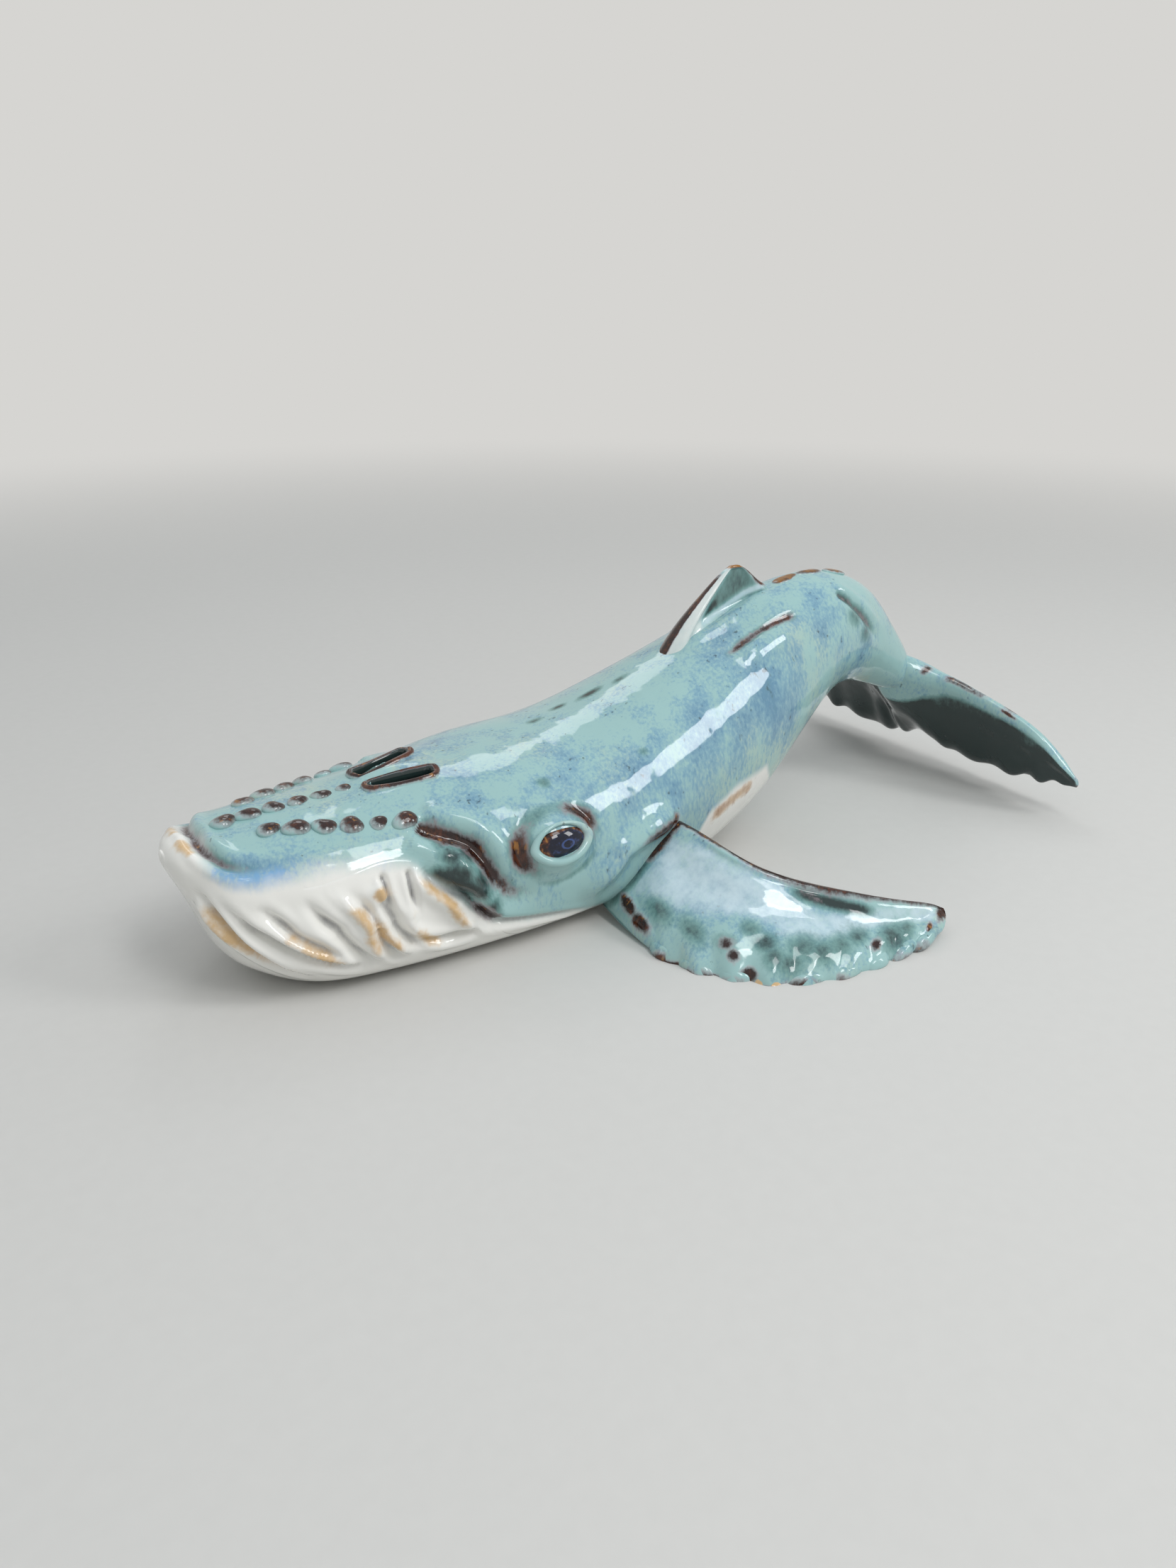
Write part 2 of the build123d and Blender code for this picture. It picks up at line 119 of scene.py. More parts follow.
# Grooves of the body's left side, each through spots of x and angle.
# width, depth, rim: millimetres; pool, iron: how dark and how brown; fade: share of the length at each end
Groove = namedtuple("Groove", "spots width depth rim pool iron fade_in fade_out")
MOUTH = Groove(
    ((-200.5, 90), (-201, 71), (-198, 52), (-193, 43), (-185, 42), (-176, 45)),
    2.2, 3.2, 1.2, 1.0, 0.6, 0, 0.75,
)
FOLDS = (
    # Cheek fold under the rostrum's corner, passing below the eye
    Groove(
        ((-128, 52), (-120, 41), (-113, 33), (-108, 22), (-103, 5), (-97, -1), (-87, -3), (-70, -7)),
        3.6, 4.0, 1.6, 1.0, 0.95, 0.06, 0.6,
    ),
    # Edge between the cheek and the throat, and its brown corner
    Groove(
        ((-132, 27), (-125, 9), (-113, -1), (-106, -10), (-101, -14), (-82, -20), (-58, -23)),
        2.3, 3.0, 1.2, 1.0, 0.2, 0.1, 0.7,
    ),
    Groove(((-117, 4), (-110, -3), (-104, -9), (-99, -12)), 3.0, 0.8, 0.0, 0.9, 0.75, 0.4, 0.3),
    # Dark band of painted shade along that edge's cheek side, under the overhanging cheek
    Groove(((-129, 25), (-122, 12), (-112, 4), (-104, -4)), 4.6, 0.0, 0.0, 0.95, 0.0, 0.2, 0.3),
    # Dark line on from that corner to the flipper: a shallow groove where the glaze pools, with painted
    # shadow along the glaze edge
    Groove(((-105, -12), (-92, -18), (-78, -24), (-68, -29), (-60, -35)), 1.5, 1.3, 0.5, 0.85, 0.1, 0.1, 0.3),
    # Brown break along the shoulder's roll, on the flipper's side
    Groove(((-46, -3), (-35, 1), (-23, 2), (-12, 2)), 3.2, 0.0, 0.0, 0.8, 0.7, 0.5, 0.15),
    # Brown line over the ridge behind the middle
    Groove(((30, 60), (52, 59), (76, 53)), 2.0, 1.6, 0.0, 0.85, 0.65, 0.3, 0.15),
    # Crease of the tail stock
    Groove(((97, 57), (104, 46), (112, 34), (124, 20), (137, 11)), 2.4, 1.8, 0.8, 0.85, 0.3, 0.15, 0.4),
)
# Grooves of the throat, from the lip's side down and back, then the two fine creases at the mouth's corner
PLEATS = (
    ((-207, -8), (-201, -19), (-190, -27), (-170, -36)),
    ((-203, 3), (-194, -8), (-185, -10), (-164, -19), (-150, -25)),
    ((-191, 12), (-181, 1), (-172, -6), (-157, -17)),
    ((-176, 21), (-169, 6), (-163, -1), (-156, -13), (-147, -23)),
    ((-160, 22), (-151, 2), (-145, -13), (-138, -24)),
    ((-150, 18), (-145, 3), (-139, -7), (-131, -20)),
    ((-138, -2), (-130, -12), (-119, -15), (-109, -15)),
)
CREASES = (
    ((-146, 28), (-145, 13), (-144, 0)),
    ((-136, 26), (-136, 12), (-134, -3)),
)
# Rounded ridges of the throat between them, rubbed with ochre
RIDGES = (
    ((-206, -16), (-203, -25), (-193, -26), (-182, -28), (-168, -33)),
    ((-188, 5), (-177, -5), (-166, -15), (-156, -23)),
    ((-168, 25), (-159, 11), (-154, 2), (-151, -9), (-146, -19)),
    ((-154, 8), (-150, 0), (-144, -8), (-137, -22)),
    ((-149, 22), (-146, 8)),
    ((-136, 25), (-129, 11), (-118, -4), (-110, -10)),
    ((-141, 8), (-134, -6), (-128, -14), (-119, -19)),
)
# Place of a groove's soft rim and spread of its dark and brown, in widths of the groove
GROOVE_LIP = 2.3
GROOVE_DARK = 1.1
GROOVE_IRON = 0.95
PLEAT_WIDTH = 1.9
CREASE_WIDTH = 1.1
RIDGE_WIDTH = 3.0
# Depth of a crease and rise of a ridge as shares of the pleats' depth
CREASE_SHARE = 0.7
RIDGE_SHARE = 0.65
# Other places rubbed with ochre, on the lip and at the rear of the belly: spots, width, strength
RUBS = (
    (((-207, 88), (-206, 75), (-205, 60), (-204, 48)), 3.0, 0.8),
    (((4, -14), (17, -12), (28, -13), (42, -19)), 3.9, 1.0),
)
BELLY_RUB_IRON = 0.36
# Soft rolls of the shoulder, flank, cheek and fin's foot: spots, width, rise
ROLLS = (
    (((-66, -18), (-55, -5), (-41, 2), (-25, 4), (-10, 2)), 5.6, 5.5),
    (((36, 50), (54, 49), (72, 42)), 6.5, 2.0),
    (((-121, 25), (-112, 11), (-103, -4)), 6.0, 3.0),
    (((14, 86), (28, 82), (44, 80), (60, 81), (76, 86)), 4.2, 2.6),
)
# Dark mottles of the cheek and flank: x, angle, size, strength
MOTTLES = (
    (-112, 24, 6.5, 0.8), (-119, 25, 6.0, 0.7), (-110, 7, 7.0, 0.85), (-121, 35, 4.5, 0.6),
    (-117, 13, 7.0, 0.85), (-122, 16, 5.0, 0.8), (-105, -3, 5.0, 0.8), (-113, 14, 12.0, 0.42),
    (-104, 0, 9.0, 0.4), (-72, 50, 3.0, 0.6), (-24, 44, 2.5, 0.5), (107, 30, 7.0, 0.6), (118, 16, 6.5, 0.5),
)
# Dark smears along the spine, off its middle: x, y, length, width, strength
SMEARS = (
    (-22, 4.5, 7.0, 2.6, 1.0), (-37, 7.0, 5.0, 2.2, 0.9), (-52, 3.0, 4.0, 2.0, 0.8), (-8, 1.5, 4.5, 2.4, 0.8),
)
# Above this height a point near the spine or the blowhole is on the back
BACK_Z = 55
# Zones where the glaze floats blue, over its level elsewhere: x, angle, size, strength
BLUE_LEVEL = 0.2
BLUE_ZONES = (
    (-199, 31, 7, 0.8), (-192, 30, 11, 0.9), (-183, 33, 9, 0.7), (-145, 27, 4, 0.7), (-178, 62, 16, 0.25),
    (-100, 62, 22, 0.3), (-60, 34, 26, 0.4), (-20, 24, 26, 0.5), (10, 30, 24, 0.55), (48, 22, 24, 0.6),
    (30, 62, 22, 0.35), (88, 50, 20, 0.4), (118, 0, 18, 0.35),
)

# Eye: place on the flank, mound, and the moat between the mound and the lid
EYE = (-76.0, 16.0)
EYE_TILT = 4.0
MOUND_LONG = 18.5
MOUND_HIGH = 16.0
MOUND_RISE = 6.6
MOUND_ROUNDING = 1.15
# Skin further than this from the eye's own plane has no part in the mound, fading over 5 mm
MOUND_REACH = 14
MOUND_FADE = 0.2
MOAT_LONG = 16.8
MOAT_HIGH = 12.4
# The moat is deep in two arcs, dark above, and the mound is creased below, with painted shade in the crease:
# bearing from the rear, spread
REAR_ARC = (0.55, 0.65)
FRONT_ARC = (3.2, 0.75)
DARK_ABOVE = (1.9, 0.5)
CREASED_BELOW = (-1.3, 0.9)
# Lid: a coil round an almond, and its height over the skin, lower at the corners
LID_LONG = 12.0
LID_HIGH = 7.4
LID_COIL = 1.7
LID_ALMOND = 0.25
LID_RISE = 5.6
LID_CORNER_DROP = 1.0
LID_GRID = (96, 40)
# Eyeball: half sizes, its middle over the skin, and the pupil's place as shares of them
EYEBALL = (11.6, 7.2, 5.4)
EYEBALL_RISE = 2.2
EYEBALL_PHASE = 0.3
EYEBALL_GRID = (40, 72)
PUPIL = (0.12, -0.12)

# Blowhole slots: centre, length, width, splay and depth of the left one
NOSTRIL = (-121.0, -9.5)
NOSTRIL_LENGTH = 25.0
NOSTRIL_WIDTH = 5.4
NOSTRIL_SPLAY = 13.0
NOSTRIL_DEPTH = 9.0
# Swell round the slots and crest between them: rise, width, then the crest's half length and middle
NOSTRIL_SWELL = (1.2, 9)
NOSTRIL_CREST = (2.4, 3.2, 13, -123.0)
# Rim of a slot: width, half height and lift of the coil, and how long its straight sides are drawn
RIM_WIDTH = 3.4
RIM_HEIGHT = 2.6
RIM_LIFT = 0.3
RIM_STRAIGHTNESS = 2.2
RIM_GRID = (120, 32)

# Rows of pellets: first and last x, first and last angle, and number
SNOUT_ROW = (-189.0, -141.0, 90.0, 90.0, 6)
SIDE_ROW = (-177.0, -130.0, 73.0, 55.0, 6)
KNUCKLE_ROW = (82.0, 108.0, 90.0, 90.0, 3)
# Pellets' half sizes along and across the row, how they vary, and how their unevenness is turned
SNOUT_PELLET = (4.6, 3.7)
SNOUT_SCALES = np.linspace(1.12, 0.82, 6)
SNOUT_PHASES = np.arange(6) * 2.1
SIDE_PELLET = (4.7, 4.0)
SIDE_SCALES = np.array((0.92, 1.08, 0.98, 1.02, 0.8, 1.05))
SIDE_PHASES = np.arange(6) * 1.3 + 0.5
KNUCKLE = (7.5, 3.6, 1.4)
KNUCKLE_SINK = 0.3
KNUCKLE_PHASES = (0.4, 2.2, 4.4)
PELLET_GRID = (22, 36)
# Unevenness of pellets: waves round them, share of the size, turn for each unit of phase
PELLET_WAVES = ((2, 0.09, 1.0), (3, 0.06, 2.3))

# Flipper sections: run from the root, place and height of the leading and trailing edges, thickness
FLIPPER_X = -30.0
FLIPPER_SWEEP = 45.0
FLIPPER = np.array([
    (-24.0, 0.0, 8.0, 37.0, 39.5, 20.0),
    (-2.5, -22.0, 2.0, 24.5, 38.5, 18.0),
    (19.0, -36.5, -1.0, 9.5, 37.0, 13.5),
    (40.0, -41.5, -1.5, -1.0, 30.5, 12.5),
    (61.0, -40.5, -1.5, -2.0, 24.0, 11.5),
    (82.5, -31.5, -1.5, 1.5, 19.0, 10.5),
    (100.0, -16.5, -0.8, 6.0, 15.0, 9.0),
    (114.0, -4.5, 1.0, 11.5, 11.5, 6.5),
    (120.5, 3.0, 3.0, 12.5, 9.5, 4.5),
])
# Places along the span count the sections, which lie about this far apart
FLIPPER_STEP = 19.0
FLIPPER_GRID = (260, 180)
FLIPPER_TIP = 3.2
# Relief of the flipper in millimetres
DISH_DEPTH = 2.4
RIM_RISE = 1.2
RECESS_DEPTH = 0.5
ROOT_DROP = 2.5
LUMP_RISE = 1.7
EDGE_SWELL = 1.2
# Swell of the leading edge at each pellet as a share of the chord
EDGE_SCALLOP = 0.058
KNOB_PLACES = np.linspace(1.6, 7.0, 9)
KNOB_RADIUS = 5.2
KNOB_RISE = 3.0
KNOB_SHAPE = np.array((1.45, 0.92, 0.85))
KNOB_TURN = 1.7
KNOB_IRON = np.array((0.8, 0.9, 0.75, 0.2, 0.9, 0.6, 0.3, 0.5, 0.6))
# One pellet is rubbed bare to the tan clay
BARE_KNOB = 3
# Lumps, brown spots and dark mottles of the flipper: place along the span, share of the chord, size
FLIPPER_LUMPS = (
    (1.4, 0.22, 6), (2.1, 0.14, 6), (2.9, 0.2, 6), (3.7, 0.15, 6), (4.5, 0.2, 7), (5.2, 0.17, 6),
    (5.8, 0.25, 6), (6.4, 0.3, 6), (7.1, 0.3, 5), (0.78, 0.15, 4.5), (1.12, 0.1, 5),
)
FLIPPER_SPOTS = (
    (0.8, 0.15, 4.0), (1.1, 0.1, 4.2), (2.77, 0.24, 3.2), (2.93, 0.16, 2.9), (3.26, 0.05, 3.4),
    (5.63, 0.26, 3.2), (7.2, 0.3, 2.8),
)
FLIPPER_MOTTLES = (
    (1.45, 0.26, 6), (2.1, 0.25, 6), (3.22, 0.42, 5), (3.5, 0.31, 6), (3.7, 0.2, 6), (4.0, 0.17, 6),
    (4.2, 0.31, 8), (4.55, 0.26, 7), (4.86, 0.33, 7), (5.2, 0.42, 6), (6.07, 0.36, 9), (2.75, 0.25, 5),
    (6.4, 0.42, 6),
)
# Painted sheen over the flipper's top, a milky sheet standing in for the sky's reflection: place along the
# span, and where it begins and ends as shares of the chord
FLIPPER_SHEEN = np.array([
    (0.3, 0.16, 0.7), (1.4, 0.31, 0.84), (2.6, 0.44, 0.92), (3.4, 0.5, 0.9), (3.9, 0.41, 0.82),
    (4.5, 0.37, 0.72), (5.0, 0.42, 0.73), (5.7, 0.53, 0.86), (7.2, 0.5, 0.9),
])

# Dorsal fin sections: x and z of the leading and trailing edges, thickness
DORSAL = np.array([
    (6.0, 84.0, 82.0, 103.0, 17.0),
    (20.0, 103.0, 76.0, 117.0, 12.0),
    (34.0, 117.0, 70.0, 122.0, 7.5),
    (46.0, 127.0, 63.0, 127.5, 4.5),
    (52.0, 130.5, 58.0, 130.5, 2.5),
])
DORSAL_GRID = (150, 130)
DORSAL_TIP = 0.6
# Its hollowed sides and thickened front, as shares of the thickness
DORSAL_HOLLOW = 0.85
DORSAL_FRONT = 0.5
# Pale rim down its front, pale glaze with a painted highlight: place along the span, share of the chord
PALE_RIM = ((0.4, 2.0, 4.0), (0.36, 0.2, 0.14))

# Half of the fluke's sections: y, then aft and up of the leading and trailing edges, thickness
FLUKE = np.array([
    (0.0, -18.0, 18.0, 30.0, -32.0, 20.0),
    (9.0, -11.0, 15.5, 31.5, -36.5, 18.5),
    (18.0, -2.5, 11.0, 33.0, -41.0, 15.5),
    (30.0, 4.5, 7.5, 33.5, -43.5, 12.5),
    (42.0, 10.0, 3.0, 33.5, -44.0, 10.5),
    (68.0, 19.0, -8.0, 32.0, -42.0, 8.0),
    (84.0, 25.0, -21.0, 31.0, -39.0, 6.0),
    (94.0, 29.0, -32.0, 32.0, -37.0, 3.0),
])
FLUKE_GRID = (320, 110)
FLUKE_TIP = 1.5
# Scallops of its rear edge, about this far apart, and its relief in millimetres
SCALLOP = 17.0
RIB_RISE = 0.7
FLUKE_DISH = 1.4
FRONT_ROLL = 1.0
MIDDLE_RIDGE = 2.6
SHOULDER_ROLL = 1.8

# Swell across a fin: share and power of the sine, share of the slope, and where the trailing edge rounds off
SINE_SHARE = 0.75
SINE_POWER = 0.75
SLOPE_SHARE = 0.25
ROUND_FROM = 0.93
TIP_TURNS = (30, 55, 75, 90)

# Marks that the glaze reads at each point, with their plain values. The dark mark also carries painted shade,
# and the milky mark painted sheen and painted highlights
PLAIN_MARKS = {"white": 0.0, "iron": 0.0, "pool": 0.0, "ochre": 0.0, "blue": 0.3, "milk": 0.0}

# Noise of the reactive glaze: name, whether the flow draws it out, size in millimetres, detail, roughness
GLAZE_NOISE = (
    ("cloud", True, 42, 4, 0.55),
    ("patch", True, 13, 4, 0.6),
    ("grain", True, 1.4, 3, 0.6),
    ("fleck", True, 2.2, 2, 0.5),
    ("smear", False, 5, 3, 0.6),
    ("wave", False, 12, 2, 0.3),
)
# Sums of its values: name, a value, another one whose distance from a half is added to it, weight
GLAZE_SUMS = (
    ("tone", "cloud", "patch", 0.5),
    ("drift", "patch", "grain", 0.75),
    ("drift", "drift", "cloud", 0.5),
    ("floating", "drift", "blue", 0.5),
    ("speck", "fleck", "patch", 0.6),
    # The thick sum takes the milky mark, so it also carries the painted sheen
    ("thick", "milk", "patch", 1.3),
    ("thick", "thick", "smear", 1.0),
    # The next sum takes the dark mark, so it carries the painted shade too
    ("sunk_and_shade", "pool", "patch", 0.5),
    ("sunk_and_shade", "sunk_and_shade", "drift", 0.35),
    ("edge", "white", "patch", 0.14),
    ("rub", "ochre", "patch", 0.9),
    ("rub", "rub", "smear", 1.0),
    ("broken", "iron", "drift", 0.5),
    ("broken", "broken", "smear", 0.6),
    ("glint", "ochre", "smear", 1.0),
)
# Its coats: what is coated, colour laid over it, value whose rise from low to high shows it, and how much
GLAZE_COATS = (
    # Celadon with cream clouds, under grains of blue that gather where the glaze floats
    ("glaze", "cream", "tone", 0.48, 0.68, 0.7),
    ("glaze", "blue", "floating", 0.32, 0.62, 0.75),
    ("glaze", "deep_blue", "floating", 0.52, 0.84, 0.65),
    ("glaze", "fleck", "speck", 0.69, 0.8, 0.65),
    # Milky where it is thick and where sheen is painted; dark where it pools and where shade is painted
    ("glaze", "milk_and_sheen_blue", "thick", 0.25, 1.35, 0.95),
    ("glaze", "teal", "sunk_and_shade", 0.1, 0.5, 0.75),
    ("glaze", "pooled_and_shade", "sunk_and_shade", 0.4, 0.9, 0.95),
    # Milky edge where it runs into the white, cornflower in places
    ("glaze", "milky", "edge", 0.4, 0.5, 0.6),
    ("glaze", "cornflower", "floating", 0.5, 0.9, "brim"),
    # White glaze of the throat, grey in its hollows as painted shade with some glaze translucency, and rubbed
    # with ochre
    ("throat", "lilac_grey", "sunk_and_shade", 0.3, 1.1, 0.75),
    ("throat", "ochre", "rub", 0.25, 1.0, 0.9),
    ("glaze", "throat", "edge", 0.44, 0.56, 1.0),
    # Iron-brown where the glaze breaks, with a lilac halo and golden glints
    ("glaze", "halo", "broken", 0.14, 0.42, 0.45),
    ("rust", "iron", "drift", 0.44, 0.74, 0.8),
    ("rust", "gold", "speck", 0.62, 0.76, 0.7),
    ("rust", "gold", "glint", 0.2, 0.8, 0.8),
    ("glaze", "rust", "broken", 0.3, 0.68, 1.0),
)
# Cornflower shows only from this level of the edge on: low, high, amount
BRIM = (0.38, 0.47, 0.85)
# Glaze runs down while it melts, so its clouds and grains are drawn out in height
FLOW = (1.0, 1.0, 0.42)
GLAZE_ROUGHNESS = 0.07
GLAZE_IOR = 1.55
PEEL_STRENGTH = 0.4
PEEL_DEPTH = 1.4

# Eye: size of its mottle in millimetres, then sums and coats as above
EYE_MOTTLE = 2
EYE_SUMS = (("spread", "radius", "mottle", 0.1),)
EYE_COATS = (
    # Navy pupil with a paler ring
    ("eye", "iris", "mottle", 0.52, 0.74, 0.5),
    ("eye", "iris", "spread", 0.17, 0.21, "inside"),
    # Golden-brown rim
    ("rust", "iron", "mottle", 0.4, 0.56, 1.0),
    ("rust", "gold", "mottle", 0.52, 0.66, 1.0),
    ("eye", "rust", "spread", 0.68, 0.84, 1.0),
)
# The ring ends here: low, high, amount inside
RING_END = (0.24, 0.29, 0.9)
EYE_ROUGHNESS = 0.05
EYE_IOR = 1.52

# Floor, in metres: level, then a wide curve up to a wall, so that no edge shows
FLOOR_OUT = np.array((0.0, 0.6, 1.2, 1.8, 2.4, 3.0, 3.5, 3.85, 4.0, 4.0, 4.0))
FLOOR_RISE = np.array((0.0, 0.0, 0.0, 0.0, 0.06, 0.26, 0.6, 1.05, 1.6, 2.4, 3.2))
FLOOR_COLUMNS = 96
# Its paper: size of the fibre in millimetres, how dark it is, roughness, and metres over which it goes even
FIBRE = 6
FIBRE_SHADE = 0.96
PAPER_ROUGHNESS = 0.85
EVEN_FROM = 0.6
EVEN_AT = 1.7

# Light: colour of the sky, then the soft boxes' names, places and sizes in metres, and shares of the power
SKY = (0.93, 0.97, 1.0, 1.0)
LAMPS = (
    ("window_box_tail", (0.8, -0.95, 0.95), (0.34, 0.56), 1.0),
    ("window_box_left", (0.0, -0.9, 1.1), (0.3, 0.34), 0.6),
    ("window_box_right", (0.35, 0.9, 1.05), (0.32, 0.42), 0.18),
    ("soft_box_above", (0.12, -0.6, 1.3), (0.34, 0.5), 0.5),
)

# Camera of the photograph: place in millimetres, heading and pitch in degrees, focal length and sensor width
# in millimetres, and the nearest distance that it shows in metres
CAMERA_PLACE = (-289.0, -390.0, 246.0)
CAMERA_HEADING = -34.0
CAMERA_PITCH = 23.5
FOCAL_LENGTH = 26.04
SENSOR_WIDTH = 36.0
NEAREST = 0.01


def linear(code):
    """Linear colour of an sRGB hex value, by the two-part sRGB curve."""
    raw = [int(code[i:i + 2], 16) / 255 for i in (0, 2, 4)]
    return tuple(c / 12.92 if c <= 0.04045 else ((c + 0.055) / 1.055) ** 2.4 for c in raw)


def smooth_step(low, high, value):
    """Cubic step from 0 at low to 1 at high."""
    share = np.clip((value - low) / (high - low), 0, 1)
    return share * share * (3 - 2 * share)


def rise_fall(value, low, full, still, end):
    """Cubic step up from low to full times a cubic step down from still to end."""
    return smooth_step(low, full, value) * smooth_step(end, still, value)


def bell(value, width):
    """Bell curve: e to the minus square of value over width."""
    return np.exp(-(value / width) ** 2)


def strongest(*layers):
    """Highest of several layers at each point."""
    high = layers[0]
    for layer in layers[1:]:
        high = np.maximum(high, layer)
    return high


def circle(count):
    """Even angles round a full turn."""
    return np.linspace(0, FULL_TURN, count, endpoint=False)


def unit(vectors):
    """Vectors of length one."""
    return vectors / np.maximum(np.linalg.norm(vectors, axis=-1, keepdims=True), 1e-9)


def natural_curve(places, values, at):
    """Natural cubic spline: second derivatives from one tridiagonal system, then a cubic in each span."""
    places = np.asarray(places, float)
    values = np.asarray(values, float)
    at = np.asarray(at, float)
    flat = values.reshape(len(places), -1)
    step = np.diff(places)
    inner = np.arange(1, len(places) - 1)
    system = np.eye(len(places))
    system[inner, inner - 1] = step[:-1]
    system[inner, inner] = 2 * (step[:-1] + step[1:])
    system[inner, inner + 1] = step[1:]
    slope = np.diff(flat, axis=0) / step[:, None]
    right = np.zeros_like(flat)
    right[1:-1] = 6 * np.diff(slope, axis=0)
    bend = np.linalg.solve(system, right)
    span = np.clip(np.searchsorted(places, at, side="right") - 1, 0, len(places) - 2)
    run = (at - places[span])[..., None]
    width = step[span][..., None]
    first = slope[span] - width * (2 * bend[span] + bend[span + 1]) / 6
    rise = run * first + run**2 * bend[span] / 2 + run**3 * (bend[span + 1] - bend[span]) / (6 * width)
    return (flat[span] + rise).reshape(at.shape + values.shape[1:])


def section(x):
    """Section of the body at each x, from natural splines through the driving sections."""
    return Section(*np.moveaxis(natural_curve(BODY[:, 0], BODY, x), -1, 0))


def skin(x, turn):
    """Body skin: at each x a superellipse whose upper and lower halves have their own height and squareness,
    taken at the polar angle turn (0 left flank, a quarter turn is the back) and leaned by its tilt."""
    part = section(x)
    across = np.cos(turn)
    up = np.sin(turn)
    power = np.where(up >= 0, part.crown, part.keel)
    size = (np.abs(across) ** power + np.abs(up) ** power) ** (-1 / power)
    height = np.where(up >= 0, part.rise, part.drop) * up * size
    tilt = np.radians(part.tilt)
    side = -part.half * across * size
    return np.stack([x + height * np.sin(tilt), side, part.z + height * np.cos(tilt)], axis=-1)


def skin_normal(x, turn, run=0.4, swing=0.01):
    """Outward direction: cross product of the skin's steps along and round the body."""
    along = skin(x + run, turn) - skin(x - run, turn)
    around = skin(x, turn + swing) - skin(x, turn - swing)
    return unit(np.cross(along, around))


def skin_turn(x, angle):
    """Polar angle of a spot given by x and the section's own angle in degrees."""
    part = section(x)
    power = 2 / np.where(angle >= 0, part.crown, part.keel)
    up = np.sin(np.radians(angle))
    across = np.cos(np.radians(angle))
    return np.arctan2(np.sign(up) * np.abs(up) ** power, np.abs(across) ** power)


def skin_line(spots, samples=48):
    """Dense points on the skin along the natural spline through spots of x and angle."""
    spots = np.asarray(spots, float)
    dense = natural_curve(np.arange(len(spots)), spots, np.linspace(0, len(spots) - 1, samples))
    x = dense[:, 0]
    return skin(x, skin_turn(x, np.clip(dense[:, 1], -90, 90)))


def round_spot(points, x, angle, size):
    """Bell of the distance from one point of the skin, given by x and the section's own angle in degrees."""
    x = np.array(float(x))
    spot = skin(x, skin_turn(x, np.array(float(angle))))
    return bell(np.linalg.norm(points - spot, axis=1), size)


def outside(points):
    """How far points stand off the body, in millimetres: the section's superellipse less one, times its
    half-width."""
    part = section(points[..., 0])
    up = points[..., 2] - part.z
    power = np.where(up >= 0, part.crown, part.keel)
    tall = np.where(up >= 0, part.rise, part.drop)
    ratio = (np.abs(points[..., 1] / part.half) ** power + np.abs(up / tall) ** power) ** (1 / power)
    return (ratio - 1) * part.half


def reach(points, line, spread):
    """Distance of every point from a dense line, and the share of the line's length where it is nearest."""
    far = np.full(len(points), 1000.0)
    place = np.zeros(len(points))
    near = np.all((points > line.min(axis=0) - spread) & (points < line.max(axis=0) + spread), axis=1)
    gaps = np.linalg.norm(points[near][:, None, :] - line[None], axis=2)
    far[near] = gaps.min(axis=1)
    place[near] = gaps.argmin(axis=1) / (len(line) - 1)
    return far, place


def ends(place, fade_in, fade_out):
    """Strength along a line: cubic steps up over fade_in and down over fade_out."""
    strength = np.ones_like(place)
    if fade_in:
        strength = strength * smooth_step(0, fade_in, place)
    if fade_out:
        strength = strength * smooth_step(0, fade_out, 1 - place)
    return strength


def grid_faces(rows, columns):
    """Quads of a grid of rows by columns whose last column joins the first."""
    row = np.arange(rows - 1)[:, None]
    column = np.arange(columns)[None, :]
    following = (column + 1) % columns
    quads = [row * columns + column, row * columns + following]
    quads += [(row + 1) * columns + following, (row + 1) * columns + column]
    return np.stack(np.broadcast_arrays(*quads), axis=-1).reshape(-1, 4)


def make_piece(name, points, values, material, node):
    """Mesh object from one or more closed grids of points in millimetres: poles welded, normals outward,
    smooth but for sharp corners."""
    rows, columns = points.shape[-3:-1]
    points = points.reshape(-1, 3) * MM
    starts = np.arange(0, len(points), rows * columns)
    faces = (grid_faces(rows, columns)[None] + starts[:, None, None]).reshape(-1, 4)
    mesh = bpy.data.meshes.new(name)
    mesh.vertices.add(len(points))
    mesh.vertices.foreach_set("co", points.ravel())
    mesh.loops.add(faces.size)
    mesh.loops.foreach_set("vertex_index", faces.ravel().astype(np.int32))
    mesh.polygons.add(len(faces))
    mesh.polygons.foreach_set("loop_start", np.arange(0, faces.size, faces.shape[1], dtype=np.int32))
    for key, value in values.items():
        layer = mesh.attributes.new(key, "FLOAT", "POINT")
        layer.data.foreach_set("value", np.asarray(value, np.float32).ravel())
    mesh.update(calc_edges=True)
    welded = bmesh.new()
    welded.from_mesh(mesh)
    bmesh.ops.remove_doubles(welded, verts=welded.verts, dist=WELD)
    bmesh.ops.dissolve_degenerate(welded, edges=welded.edges, dist=NO_LENGTH)
    bmesh.ops.recalc_face_normals(welded, faces=welded.faces)
    welded.to_mesh(mesh)
    welded.free()
    mesh.polygons.foreach_set("use_smooth", np.ones(len(mesh.polygons), bool))
    mesh.set_sharp_from_angle(angle=np.radians(SHARP_EDGE))
    mesh.materials.append(material)
    piece = bpy.data.objects.new(name, mesh)
    bpy.context.scene.collection.objects.link(piece)
    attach(piece, "root")
    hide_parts(node)


def make_pair(name, points, values, material, node):
    """A piece of the left flank and its mirror image on the right one."""
    for side, across in (("left", 1), ("right", -1)):
        make_piece(f"whale_{side}_{name}", points * (1, across, 1), values, material, f"{side}_{node}")


